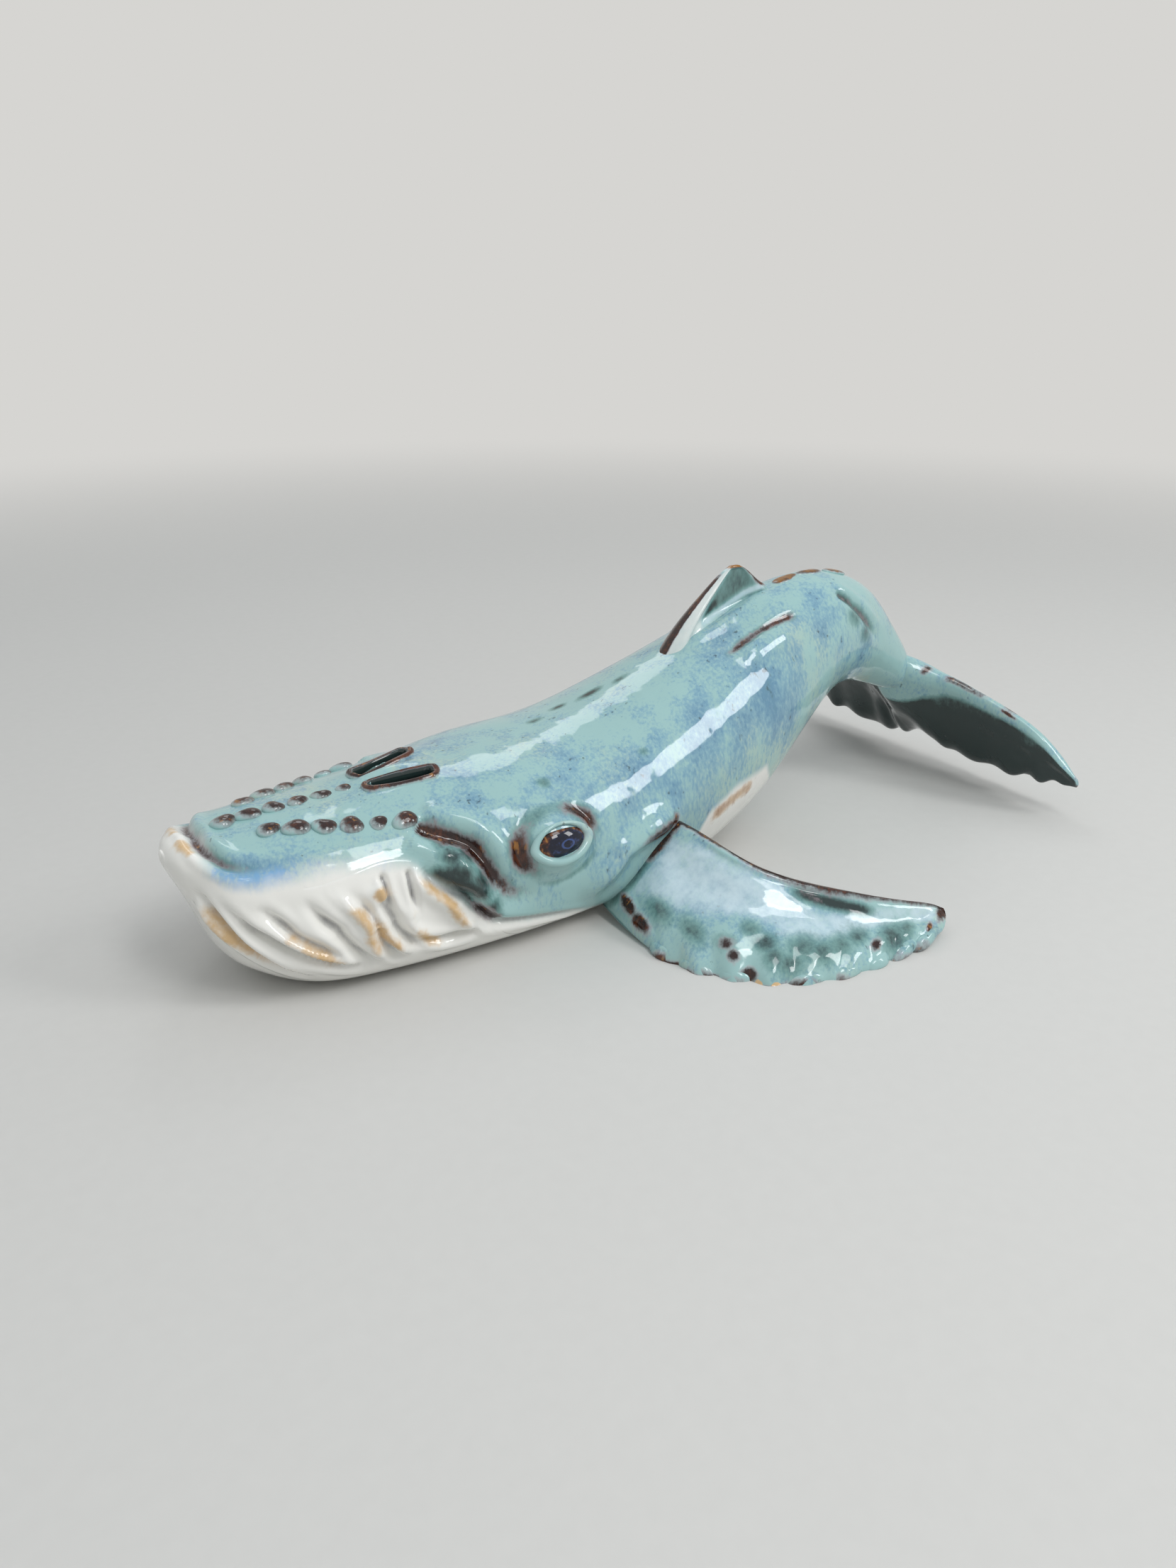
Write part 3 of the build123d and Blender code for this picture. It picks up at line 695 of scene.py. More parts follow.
def add_node(tree, kind, inputs=None, **settings):
    """Node of a kind with its settings; an input is a value or a socket to link from."""
    made = tree.nodes.new(kind)
    for key, value in settings.items():
        setattr(made, key, value)
    for key, value in (inputs or {}).items():
        if isinstance(value, bpy.types.NodeSocket):
            tree.links.new(value, made.inputs[key])
        else:
            made.inputs[key].default_value = value
    return made


def blank_material(name):
    """Node material with only an output and a principled surface."""
    material = bpy.data.materials.new(name)
    material.use_nodes = True
    tree = material.node_tree
    tree.nodes.clear()
    surface = add_node(tree, "ShaderNodeBsdfPrincipled")
    add_node(tree, "ShaderNodeOutputMaterial", {"Surface": surface.outputs["BSDF"]})
    return material, tree, surface


def work_sums(tree, value, sums):
    """Works a glaze's sums into nodes: a value plus another one's distance from a half, weighted."""
    for name, first, second, weight in sums:
        shifted = add_node(tree, "ShaderNodeMath", {0: value[second], 1: 0.5}, operation="SUBTRACT")
        terms = {0: shifted.outputs[0], 1: weight, 2: value[first]}
        value[name] = add_node(tree, "ShaderNodeMath", terms, operation="MULTIPLY_ADD").outputs[0]


def work_coats(tree, value, paint, coats):
    """Works a glaze's coats into nodes: one colour over another, by a mask that rises smoothly from low to
    high and is scaled by an amount, which is a number or the name of a value."""
    for under, over, source, low, high, amount in coats:
        limits = {"Value": value[source], "From Min": low, "From Max": high}
        mask = add_node(tree, "ShaderNodeMapRange", limits, interpolation_type="SMOOTHSTEP").outputs[0]
        scaled = {0: mask, 1: value.get(amount, amount)}
        share = add_node(tree, "ShaderNodeMath", scaled, operation="MULTIPLY", use_clamp=True).outputs[0]
        colours = {0: share, 6: paint[under], 7: paint[over]}
        paint[under] = add_node(tree, "ShaderNodeMix", colours, data_type="RGBA").outputs[2]


def reactive_glaze(paint):
    """Glossy reactive stoneware glaze, dipped and fired: pale celadon that floats blue in fine grains and
    clouds, milky where thick, iron-brown where it breaks thin over edges, dark where it pools, and white on
    the throat. In places its marks also paint shade as dark glaze and sheen as milky glaze."""
    material, tree, surface = blank_material("reactive_stoneware_glaze")
    place = add_node(tree, "ShaderNodeTexCoord").outputs["Object"]
    flow = add_node(tree, "ShaderNodeMapping", {"Vector": place, "Scale": FLOW}).outputs[0]
    value = {}
    for key, flows, size, detail, roughness in GLAZE_NOISE:
        look = {"Scale": 1 / (size * MM), "Detail": detail, "Roughness": roughness}
        look["Vector"] = flow if flows else place
        value[key] = add_node(tree, "ShaderNodeTexNoise", look).outputs[0]
    for key in PLAIN_MARKS:
        value[key] = add_node(tree, "ShaderNodeAttribute", attribute_name=key).outputs["Fac"]
    work_sums(tree, value, GLAZE_SUMS)
    low, high, amount = BRIM
    brim = {"Value": value["edge"], "From Min": low, "From Max": high, "To Max": amount}
    value["brim"] = add_node(tree, "ShaderNodeMapRange", brim, interpolation_type="SMOOTHSTEP").outputs[0]
    paint = {**paint, "glaze": paint["celadon"], "throat": paint["white"], "rust": paint["iron_dark"]}
    work_coats(tree, value, paint, GLAZE_COATS)
    # Orange-peel of the melted surface
    peel = {"Height": value["wave"], "Strength": PEEL_STRENGTH, "Distance": PEEL_DEPTH * MM}
    bump = add_node(tree, "ShaderNodeBump", peel)
    tree.links.new(paint["glaze"], surface.inputs["Base Color"])
    tree.links.new(bump.outputs[0], surface.inputs["Normal"])
    surface.inputs["Roughness"].default_value = GLAZE_ROUGHNESS
    surface.inputs["IOR"].default_value = GLAZE_IOR
    return material


def eye_glaze(paint):
    """Glossy cobalt-black glaze of the eye: navy pupil with a paler ring, and a golden-brown rim."""
    material, tree, surface = blank_material("cobalt_eye_glaze")
    place = add_node(tree, "ShaderNodeTexCoord").outputs["Object"]
    look = {"Vector": place, "Scale": 1 / (EYE_MOTTLE * MM), "Detail": 3}
    value = {
        "mottle": add_node(tree, "ShaderNodeTexNoise", look).outputs[0],
        "radius": add_node(tree, "ShaderNodeAttribute", attribute_name="radius").outputs["Fac"],
    }
    work_sums(tree, value, EYE_SUMS)
    low, high, amount = RING_END
    inside = {"Value": value["spread"], "From Min": low, "From Max": high, "To Min": amount, "To Max": 0}
    value["inside"] = add_node(tree, "ShaderNodeMapRange", inside, interpolation_type="SMOOTHSTEP").outputs[0]
    paint = {**paint, "eye": paint["pupil"], "rust": paint["iron_dark"]}
    work_coats(tree, value, paint, EYE_COATS)
    tree.links.new(paint["eye"], surface.inputs["Base Color"])
    surface.inputs["Roughness"].default_value = EYE_ROUGHNESS
    surface.inputs["IOR"].default_value = EYE_IOR
    return material


def stage_paper(colour):
    """Matte paper of the studio floor and its curved wall: one pale tone with faint fibre. Far out the camera
    and reflections see that tone evenly lit."""
    material, tree, surface = blank_material("studio_floor_paper")
    place = add_node(tree, "ShaderNodeTexCoord").outputs["Object"]
    look = {"Vector": place, "Scale": 1 / (FIBRE * MM), "Detail": 2}
    fibre = add_node(tree, "ShaderNodeTexNoise", look).outputs[0]
    plain = (*colour, 1)
    darker = (*(FIBRE_SHADE * part for part in colour), 1)
    tone = add_node(tree, "ShaderNodeMix", {0: fibre, 6: plain, 7: darker}, data_type="RGBA").outputs[2]
    tree.links.new(tone, surface.inputs["Base Color"])
    surface.inputs["Roughness"].default_value = PAPER_ROUGHNESS
    path = add_node(tree, "ShaderNodeLightPath").outputs
    seen = path["Is Camera Ray"]
    for ray in ("Is Glossy Ray", "Is Transmission Ray"):
        seen = add_node(tree, "ShaderNodeMath", {0: seen, 1: path[ray]}, operation="MAXIMUM").outputs[0]
    away = add_node(tree, "ShaderNodeVectorMath", {0: place}, operation="LENGTH").outputs["Value"]
    limits = {"Value": away, "From Min": EVEN_FROM, "From Max": EVEN_AT}
    far = add_node(tree, "ShaderNodeMapRange", limits, interpolation_type="SMOOTHSTEP").outputs[0]
    share = add_node(tree, "ShaderNodeMath", {0: far, 1: seen}, operation="MULTIPLY").outputs[0]
    even = add_node(tree, "ShaderNodeEmission", {"Color": plain}).outputs[0]
    mix = add_node(tree, "ShaderNodeMixShader", {0: share, 1: surface.outputs[0], 2: even})
    tree.links.new(mix.outputs[0], tree.nodes["Material Output"].inputs["Surface"])
    return material


def glaze_material():
    """The whale's one glaze, made on first use."""
    found = bpy.data.materials.get("reactive_stoneware_glaze")
    return found or reactive_glaze(bpy.context.scene.whale_glaze.paint())


def marks(shape, **given):
    """The glaze's marks over a piece, each a number per point: those given, and plain values for the rest."""
    return {key: np.broadcast_to(given.get(key, value), shape) for key, value in PLAIN_MARKS.items()}


def raise_marks(relief, **given):
    """Lifts each named mark to the given strength wherever that is higher."""
    for key, value in given.items():
        relief[key] = np.maximum(relief[key], value)


def extended(values, before, after, aside=0):
    """Marks with their first and last rows and their last column repeated, for points added there."""
    added = ((before, after), (0, aside))
    return {key: np.pad(value, added, mode="edge") for key, value in values.items()}


def rounded_end(ring, way, degrees):
    """Rows that shrink from a ring to its middle while they move on along a way, by a quarter circle."""
    turns = np.radians(degrees)[:, None, None]
    middle = ring.mean(axis=0)
    return middle + (ring - middle) * np.cos(turns) + way * np.sin(turns)


def nostril_gap(points):
    """Signed distance from the left blowhole slot's outline seen from above: a stadium, negative inside."""
    turn = np.radians(NOSTRIL_SPLAY)
    dx = points[:, 0] - NOSTRIL[0]
    dy = points[:, 1] - NOSTRIL[1]
    along = dx * np.cos(turn) - dy * np.sin(turn)
    aside = dx * np.sin(turn) + dy * np.cos(turn)
    straight = (NOSTRIL_LENGTH - NOSTRIL_WIDTH) / 2
    return np.hypot(np.maximum(np.abs(along) - straight, 0), aside) - NOSTRIL_WIDTH / 2


def eye_axes():
    """Eye's middle on the skin, its long way along the flank, its high way and its outward way."""
    x = np.array(EYE[0])
    turn = skin_turn(x, np.array(EYE[1]))
    out = skin_normal(x, turn)
    level = unit(np.cross(out, np.array((0.0, 0.0, 1.0))))
    level = level * np.sign(level[0])
    up = np.cross(out, level)
    up = up * np.sign(up[2])
    lean = np.radians(EYE_TILT)
    long_way = level * np.cos(lean) + up * np.sin(lean)
    high_way = up * np.cos(lean) - level * np.sin(lean)
    return skin(x, turn), long_way, high_way, out


def model_grooves(left, relief):
    """Grooves: bell-shaped hollows with a soft rim beside them. Ridges and rolls: bells."""
    deep = bpy.context.scene.whale_form.pleat_depth / MM
    # The dark of the pleats and creases turns grey on the white throat: painted shade in the grooves, with
    # some glaze translucency
    pleat = Groove(None, PLEAT_WIDTH, deep, rim=0.8, pool=0.65, iron=0, fade_in=0.3, fade_out=0.3)
    fine = CREASE_SHARE * deep
    crease = Groove(None, CREASE_WIDTH, fine, rim=0.4, pool=0.9, iron=0, fade_in=0.15, fade_out=0.4)
    throat = [pleat._replace(spots=spots) for spots in PLEATS]
    throat += [crease._replace(spots=spots) for spots in CREASES]
    for groove in [MOUTH, *FOLDS, *throat]:
        far, place = reach(left, skin_line(groove.spots), 5 * groove.width)
        strength = ends(place, groove.fade_in, groove.fade_out)
        hollow = bell(far, groove.width) * strength
        lip = bell(far - GROOVE_LIP * groove.width, groove.width) * strength
        relief["height"] += groove.rim * lip - groove.depth * hollow
        raise_marks(
            relief,
            pool=groove.pool * bell(far, GROOVE_DARK * groove.width) * strength,
            iron=groove.iron * bell(far, GROOVE_IRON * groove.width) * strength,
        )
    for spots in RIDGES:
        far, place = reach(left, skin_line(spots), 4 * RIDGE_WIDTH)
        ridge = bell(far, RIDGE_WIDTH)
        relief["height"] += RIDGE_SHARE * deep * ridge * ends(place, 0.3, 0.3)
        raise_marks(relief, ochre=0.9 * ridge * ends(place, 0.4, 0.4))
    for spots, width, rise in ROLLS:
        far, place = reach(left, skin_line(spots), 3 * width)
        relief["height"] += rise * bell(far, width) * ends(place, 0.3, 0.3)


def model_eye_mound(left, relief):
    """Eye mound: a dome over an oval, which covers the grooves there, with a moat round the lid that is deep
    in two arcs, and a crease below."""
    centre, long_way, high_way, out = eye_axes()
    away = left - centre
    along = away @ long_way
    upward = away @ high_way
    beyond = np.maximum(np.abs(away @ out) - MOUND_REACH, 0) * MOUND_FADE
    radius = np.hypot(along / MOUND_LONG, upward / MOUND_HIGH) + beyond
    dome = np.clip(1 - radius**2, 0, 1)
    bearing = np.arctan2(upward / MOUND_HIGH, along / MOUND_LONG)
    from_front = np.abs(np.mod(bearing - FRONT_ARC[0] + np.pi, FULL_TURN) - np.pi)
    arcs = strongest(bell(bearing - REAR_ARC[0], REAR_ARC[1]), bell(from_front, FRONT_ARC[1]))
    moat = np.hypot(along / MOAT_LONG, upward / MOAT_HIGH) + beyond - 1
    crease = bell(radius - 1.06, 0.1) * bell(bearing - CREASED_BELOW[0], CREASED_BELOW[1])
    dark = 0.15 + 0.3 * bell(bearing - DARK_ABOVE[0], DARK_ABOVE[1]) + 0.85 * arcs
    kept = relief["height"] * (1 - smooth_step(0, 0.25, dome))
    raised = MOUND_RISE * dome**MOUND_ROUNDING
    relief["height"] = kept + raised - (0.5 + 1.2 * arcs) * bell(moat, 0.14) - 0.8 * crease
    # Dark in the moat, most in its arcs and above it; along the crease below the mound the dark is painted
    # shade
    pool = strongest(bell(moat, 0.28) * dark, 0.5 * crease)
    raise_marks(relief, pool=pool, iron=0.85 * bell(moat, 0.22) * arcs)


def model_blowhole(left, relief):
    """Blowhole: two slots as steep pits in a soft swell, with a crest between them."""
    on_back = left[:, 2] > BACK_Z
    gap = nostril_gap(left) + np.where(on_back, 0, 100)
    rise, width = NOSTRIL_SWELL
    relief["height"] += rise * bell(np.maximum(gap, 0), width) - NOSTRIL_DEPTH * smooth_step(0.6, -0.8, gap)
    rise, width, length, middle = NOSTRIL_CREST
    relief["height"] += rise * bell(left[:, 1], width) * bell(left[:, 0] - middle, length) * on_back
    raise_marks(relief, pool=smooth_step(0.8, -0.6, gap))


def mark_glaze(base, left, relief):
    """Glaze of the body: white below the glaze line, with ochre rubs, dark smears and mottles, and blue
    zones, all bells round their places."""
    for x, y, length, width, strength in SMEARS:
        smear = bell(base[:, 0] - x, length) * bell(base[:, 1] - y, width) * (base[:, 2] > BACK_Z)
        raise_marks(relief, pool=strength * smear)
    for x, angle, size, strength in MOTTLES:
        raise_marks(relief, pool=strength * round_spot(left, x, angle, size))
    for x, angle, size, strength in BLUE_ZONES:
        raise_marks(relief, blue=BLUE_LEVEL + strength * round_spot(left, x, angle, size))
    for spots, width, strength in RUBS:
        far, place = reach(left, skin_line(spots), 4 * width)
        rubbed = bell(far, width) * ends(place, 0.25, 0.25)
        raise_marks(relief, ochre=strength * rubbed, iron=BELLY_RUB_IRON * rubbed * (left[:, 0] > 0))
    line_x, line_angle = GLAZE_LINE.T
    line_z = skin(line_x, skin_turn(line_x, line_angle))[:, 2]
    above = left[:, 2] - np.interp(left[:, 0], line_x, line_z, right=NO_WHITE_Z)
    behind = left[:, 0] - LIP_X
    softness = np.interp(left[:, 0], RUN_X, RUN_WIDTH)
    relief["white"] = np.clip(0.5 - np.minimum(above, behind) / softness, 0, 1)


def hand_wobble(base):
    """Unevenness left by the maker's hands, between about -1 and 1: two products of slow sines."""
    x, y, z = base.T
    slow = np.sin(x / 19 + z / 31) * np.cos(y / 15 + 0.7)
    return slow + 0.6 * np.sin(x / 8.7 - z / 11 + 1.1) * np.cos(y / 9.4)


def body_relief(base):
    """Height of the modelling over the smooth skin, and the glaze's marks. Both flanks take the left one's
    modelling."""
    left = base.copy()
    left[:, 1] = -np.abs(base[:, 1])
    relief = {key: np.zeros(len(base)) for key in ("height", "pool", "iron", "ochre")}
    relief["blue"] = np.full(len(base), BLUE_LEVEL)
    model_grooves(left, relief)
    model_eye_mound(left, relief)
    model_blowhole(left, relief)
    mark_glaze(base, left, relief)
    wobble = bpy.context.scene.whale_form.hand_wobble / MM * hand_wobble(base)
    height = relief.pop("height") + wobble
    return height, marks(height.shape, **relief)


def seam_turns(stations):
    """Polar angle of the seam on each section's left half: where the skin rises through the seam's height."""
    turns = np.linspace(-QUARTER_TURN, QUARTER_TURN, SEAM_SEARCH)
    points = skin(stations[:, None], turns[None, :])
    seam_end = SEAM[-1, 0]
    over = points[..., 2] - natural_curve(SEAM[:, 0], SEAM[:, 1], np.minimum(points[..., 0], seam_end))
    over = np.where(points[..., 0] > seam_end - 1, 1.0, over)
    first = np.argmax(over > 0, axis=1)
    rows = np.arange(len(stations))
    before = np.maximum(first - 1, 0)
    low = over[rows, before]
    high = over[rows, first]
    share = np.where(first > 0, -low / np.maximum(high - low, 1e-9), 0)
    found = turns[before] + np.clip(share, 0, 1) * (turns[first] - turns[before])
    return np.where(np.any(over > 0, axis=1), found, QUARTER_TURN)


def body_half(stations, starts, stops, columns, bow, tongue):
    """Closed half of the body: skin from one seam line to the other, a bowed sheet back through the inside,
    the tip of the nose, and where asked the tongue that runs on into the fluke."""
    share = np.linspace(0, 1, columns)
    turns = starts[:, None] + (stops - starts)[:, None] * share
    x = np.broadcast_to(stations[:, None], turns.shape)
    base = skin(x, turns).reshape(-1, 3)
    normal = skin_normal(x, turns).reshape(-1, 3)
    height, values = body_relief(base)
    outer = base + normal * height[:, None]
    outer[:, 2] = np.maximum(outer[:, 2], 0)
    outer = outer.reshape(*turns.shape, 3)
    back = np.linspace(1, 0, INSIDE_COLUMNS + 2)[1:-1]
    inner = outer[:, :1] + (outer[:, -1:] - outer[:, :1]) * back[None, :, None]
    inner[..., 2] += bow * 4 * back * (1 - back)
    points = np.concatenate([outer, inner], axis=1)
    values = {key: value.reshape(turns.shape) for key, value in values.items()}
    values = extended(values, 1, 0, INSIDE_COLUMNS)
    points = np.concatenate([np.broadcast_to(NOSE, (1, *points.shape[1:])), points])
    if tongue:
        way = TONGUE_END - points[-1].mean(axis=0)
        points = np.concatenate([points, rounded_end(points[-1], way, TONGUE_TURNS)])
        values = extended(values, 0, len(TONGUE_TURNS))
    return points, values


Blade = namedtuple("Blade", "place share lead chord over thick swell")


def blade(leads, trails, thicks, towards, grid):
    """Fin: natural splines carry the two edges and the thickness along the span; across each section the
    swell is a sine power plus a slope, which leaves a thin rounded trailing edge."""
    rows, columns = grid
    order = np.arange(len(thicks))
    place = np.linspace(0, len(thicks) - 1, rows)
    lead = natural_curve(order, leads, place)
    trail = natural_curve(order, trails, place)
    thick = natural_curve(order, thicks, place)
    turn = circle(columns)
    share = (1 - np.cos(turn)) / 2
    chord = trail - lead
    over = unit(np.cross(np.asarray(towards, float), chord))
    over = over * np.where(over[:, 2:] < 0, -1, 1)
    sine = np.abs(np.sin(turn)) ** SINE_POWER * SINE_SHARE
    rounding = np.clip((share - ROUND_FROM) / (1 - ROUND_FROM), 0, 1)
    slope = SLOPE_SHARE * share * np.sqrt(np.clip(1 - rounding**2, 0, 1))
    return Blade(place, share, lead, chord, over, thick, np.sign(np.sin(turn)) * (sine + slope))


def shape_blade(fin, share, lift):
    """Points of a fin: leading edge plus a share of the chord, plus swell and lift along the normal."""
    flat = fin.lead[:, None, :] + fin.chord[:, None, :] * share[..., None]
    return flat + fin.over[:, None, :] * (fin.thick[:, None] / 2 * fin.swell + lift)[..., None]


def closed_ends(points, values, bulge):
    """Closes a fin: the root on its middle, and the tip by rounded rows that move on by the bulge."""
    start = np.broadcast_to(points[0].mean(axis=0), (1, *points.shape[1:]))
    way = unit(points[-1].mean(axis=0) - points[-3].mean(axis=0)) * bulge
    tip = rounded_end(points[-1], way, TIP_TURNS)
    return np.concatenate([start, points, tip]), extended(values, 1, len(TIP_TURNS))


def lumps(centres, axes, sizes, phases, grid=PELLET_GRID, uneven=1.0):
    """Closed pellets: spheres stretched along three axes, with low waves of latitude and longitude. Also
    gives how high each point is on its pellet, from -1 to 1."""
    rows, columns = grid
    latitude = np.linspace(-QUARTER_TURN, QUARTER_TURN, rows)[:, None]
    longitude = circle(columns)[None, :]
    ball = np.stack([
        np.cos(latitude) * np.cos(longitude),
        np.cos(latitude) * np.sin(longitude),
        np.sin(latitude) + 0 * longitude,
    ], axis=-1)
    phase = np.asarray(phases)[:, None, None]
    wave = 1 + 0 * phase
    for count, share, turn in PELLET_WAVES:
        wave = wave + uneven * share * np.cos(latitude) * np.sin(count * longitude + turn * phase)
    local = ball[None] * wave[..., None] * np.asarray(sizes)[:, None, None, :]
    points = np.asarray(centres)[:, None, None, :] + np.einsum("nrci,nij->nrcj", local, np.asarray(axes))
    return points, np.broadcast_to(np.sin(latitude), points.shape[:3])


def facing(points, centres, ways):
    """How far each point of a row of pellets faces the pellet's own way: cosine of the angle between them."""
    return np.einsum("nrci,ni->nrc", unit(points - centres[:, None, None, :]), ways)


def brown_tops(points, centres, axes):
    """Iron of a row of pellets: most on the top and towards the tail, least on the forward lower side."""
    return 0.33 + 0.5 * facing(points, centres, axes[:, 2]) + 0.17 * facing(points, centres, axes[:, 0])


def row_places(row):
    """Spots of a row of pellets: x and angle at even steps, the skin there and three axes."""
    first, last, angle_first, angle_last, count = row
    x = np.linspace(first, last, count)
    turn = skin_turn(x, np.linspace(angle_first, angle_last, count))
    out = skin_normal(x, turn)
    along = unit(skin(x + 1, turn) - skin(x - 1, turn))
    return skin(x, turn), np.stack([along, np.cross(out, along), out], axis=1)


def rostrum_row(row, size, rise, scales, phases):
    """Pellets of one row of the rostrum with their marks."""
    centres, axes = row_places(row)
    points, high = lumps(centres, axes, np.array((*size, rise)) * scales[:, None], phases)
    return points, marks(high.shape, iron=brown_tops(points, centres, axes), blue=0.1)


def flipper_edges():
    """Leading and trailing edges of the left flipper, from the root's axes, its thickness and its way out."""
    run, lead_place, lead_height, trail_place, trail_height, thick = FLIPPER.T[..., None]
    sweep = np.radians(FLIPPER_SWEEP)
    root = np.array((FLIPPER_X, -section(FLIPPER_X).half, 0.0))
    outward = np.array((np.sin(sweep), -np.cos(sweep), 0.0))
    across = np.array((np.cos(sweep), np.sin(sweep), 0.0))
    up = np.array((0.0, 0.0, 1.0))
    leads = root + run * outward + lead_place * across + lead_height * up
    trails = root + run * outward + trail_place * across + trail_height * up
    return leads, trails, thick[:, 0], outward


def flipper_blots(where, share, chord, spots):
    """Strongest of round bells over the flipper, their distances in millimetres along span and chord."""
    bells = []
    for at, across, size in spots:
        bells.append(bell(np.hypot((where - at) * FLIPPER_STEP, (share - across) * chord), size))
    return strongest(*bells)


def flipper_surface(fin):
    """Flipper's points and marks. Lift along the normal: a dished middle, a raised trailing rim, a recess
    below it, a sunk root, lumps, and an edge that swells at each pellet, all bells and cubic steps of the
    chord's share and the place along the span."""
    where = fin.place[:, None]
    share = fin.share
    upper = (fin.swell > 0).astype(float)
    chord = np.linalg.norm(fin.chord, axis=1)[:, None]
    paddle = rise_fall(where, 1.0, 2.0, 6.8, 7.7)
    dish = bell(share - 0.6, 0.2) * upper * paddle
    rim = bell(share - 0.93, 0.035) * upper * smooth_step(1.5, 2.5, where)
    recess = bell(share - 0.84 + 0.06 * (where - 4.1), 0.085) * upper * rise_fall(where, 3.7, 4.2, 5.2, 5.9)
    root = upper * smooth_step(1.5, 0.5, where)
    lumpy = upper * flipper_blots(where, share, chord, FLIPPER_LUMPS)
    scallop = np.max(bell(where[..., None] - KNOB_PLACES, 0.24), axis=-1) * paddle
    swollen = np.sign(fin.swell) * scallop * bell(share - 0.05, 0.08)
    lift = RIM_RISE * rim - DISH_DEPTH * dish - RECESS_DEPTH * recess - ROOT_DROP * root
    lift = lift + LUMP_RISE * lumpy + EDGE_SWELL * swollen
    points = shape_blade(fin, share - EDGE_SCALLOP * scallop * bell(share, 0.1), lift)

    joint = bell(outside(points) - 1.0, 3.0) * upper
    rim_width = 0.06 + 0.06 * smooth_step(2.6, 4.6, where)
    iron = strongest(
        # Trailing rim, leading edge near the root, spots and tip
        0.95 * bell(share - 1.0, rim_width) * smooth_step(0.7, 1.4, where),
        0.8 * bell(share, 0.025) * rise_fall(where, 1.1, 1.7, 3.2, 4.6),
        0.85 * upper * flipper_blots(where, share, chord, FLIPPER_SPOTS),
        0.75 * smooth_step(7.3, 8.0, where) * bell(share - 0.75, 0.4),
        # Joint with the body, and the recess's near end
        0.85 * joint * smooth_step(0.45, 0.65, share),
        0.25 * recess * smooth_step(5.0, 4.2, where),
    )
    mottled = 0.68 * upper * flipper_blots(where, share, chord, FLIPPER_MOTTLES)
    # Painted sheen: a milky sheet over the top that stands in for the reflection of the sky
    begins = np.interp(where, FLIPPER_SHEEN[:, 0], FLIPPER_SHEEN[:, 1])
    stops = np.interp(where, FLIPPER_SHEEN[:, 0], FLIPPER_SHEEN[:, 2])
    milk = rise_fall(share, begins - 0.12, begins + 0.12, stops - 0.1, stops + 0.08)
    values = marks(
        points.shape[:2],
        iron=iron,
        pool=strongest(mottled, recess, 0.7 * joint),
        blue=0.2 + 0.6 * bell(share - 0.6, 0.3) * upper * smooth_step(8, 3, where),
        milk=milk * upper * (1 - joint) * smooth_step(8.0, 7.3, where),
    )
    points, values = closed_ends(points, values, FLIPPER_TIP)
    points[..., 2] = np.maximum(points[..., 2], 0)
    return points, values


def flipper_pellets(leads, trails):
    """Pellets along the flipper's leading edge, brown where they face away from it."""
    order = np.arange(len(leads))
    edge = natural_curve(order, leads, KNOB_PLACES)
    inward = unit(natural_curve(order, trails, KNOB_PLACES) - edge)
    span = unit(natural_curve(order, leads, KNOB_PLACES + 0.05) - edge)
    axes = np.stack([span, inward, unit(np.cross(span, inward))], axis=1)
    centres = edge + inward * (KNOB_RADIUS - KNOB_RISE)
    count = np.arange(len(centres))
    sizes = KNOB_SHAPE * KNOB_RADIUS * np.ones((len(centres), 1))
    points, high = lumps(centres, axes, sizes, count * KNOB_TURN)
    points[..., 2] = np.maximum(points[..., 2], 0)
    edgewise = np.clip(-facing(points, centres, inward), 0, 1)
    bare = smooth_step(-0.2, 0.4, edgewise) * (count == BARE_KNOB)[:, None, None]
    iron = edgewise * KNOB_IRON[:, None, None]
    pool = 0.15 * (1 - edgewise)
    return points, marks(high.shape, iron=iron, pool=pool, blue=0.2, white=0.8 * bare, ochre=bare)


class WhaleForm(bpy.types.PropertyGroup):
    """Sizes of the modelling."""

    pleat_depth: FloatProperty(
        name="Pleat depth",
        description="Depth of the throat's pleats",
        default=4.2 * MM,
        unit="LENGTH",
    )
    hand_wobble: FloatProperty(
        name="Hand wobble",
        description="Unevenness left by the maker's hands",
        default=0.3 * MM,
        unit="LENGTH",
    )
    scallop_depth: FloatProperty(
        name="Scallop depth",
        description="Depth of the scallops of the fluke",
        default=3.0 * MM,
        unit="LENGTH",
    )
    pellet_rise: FloatProperty(
        name="Pellet rise",
        description="Height of the rostrum's pellets",
        default=2.2 * MM,
        unit="LENGTH",
    )


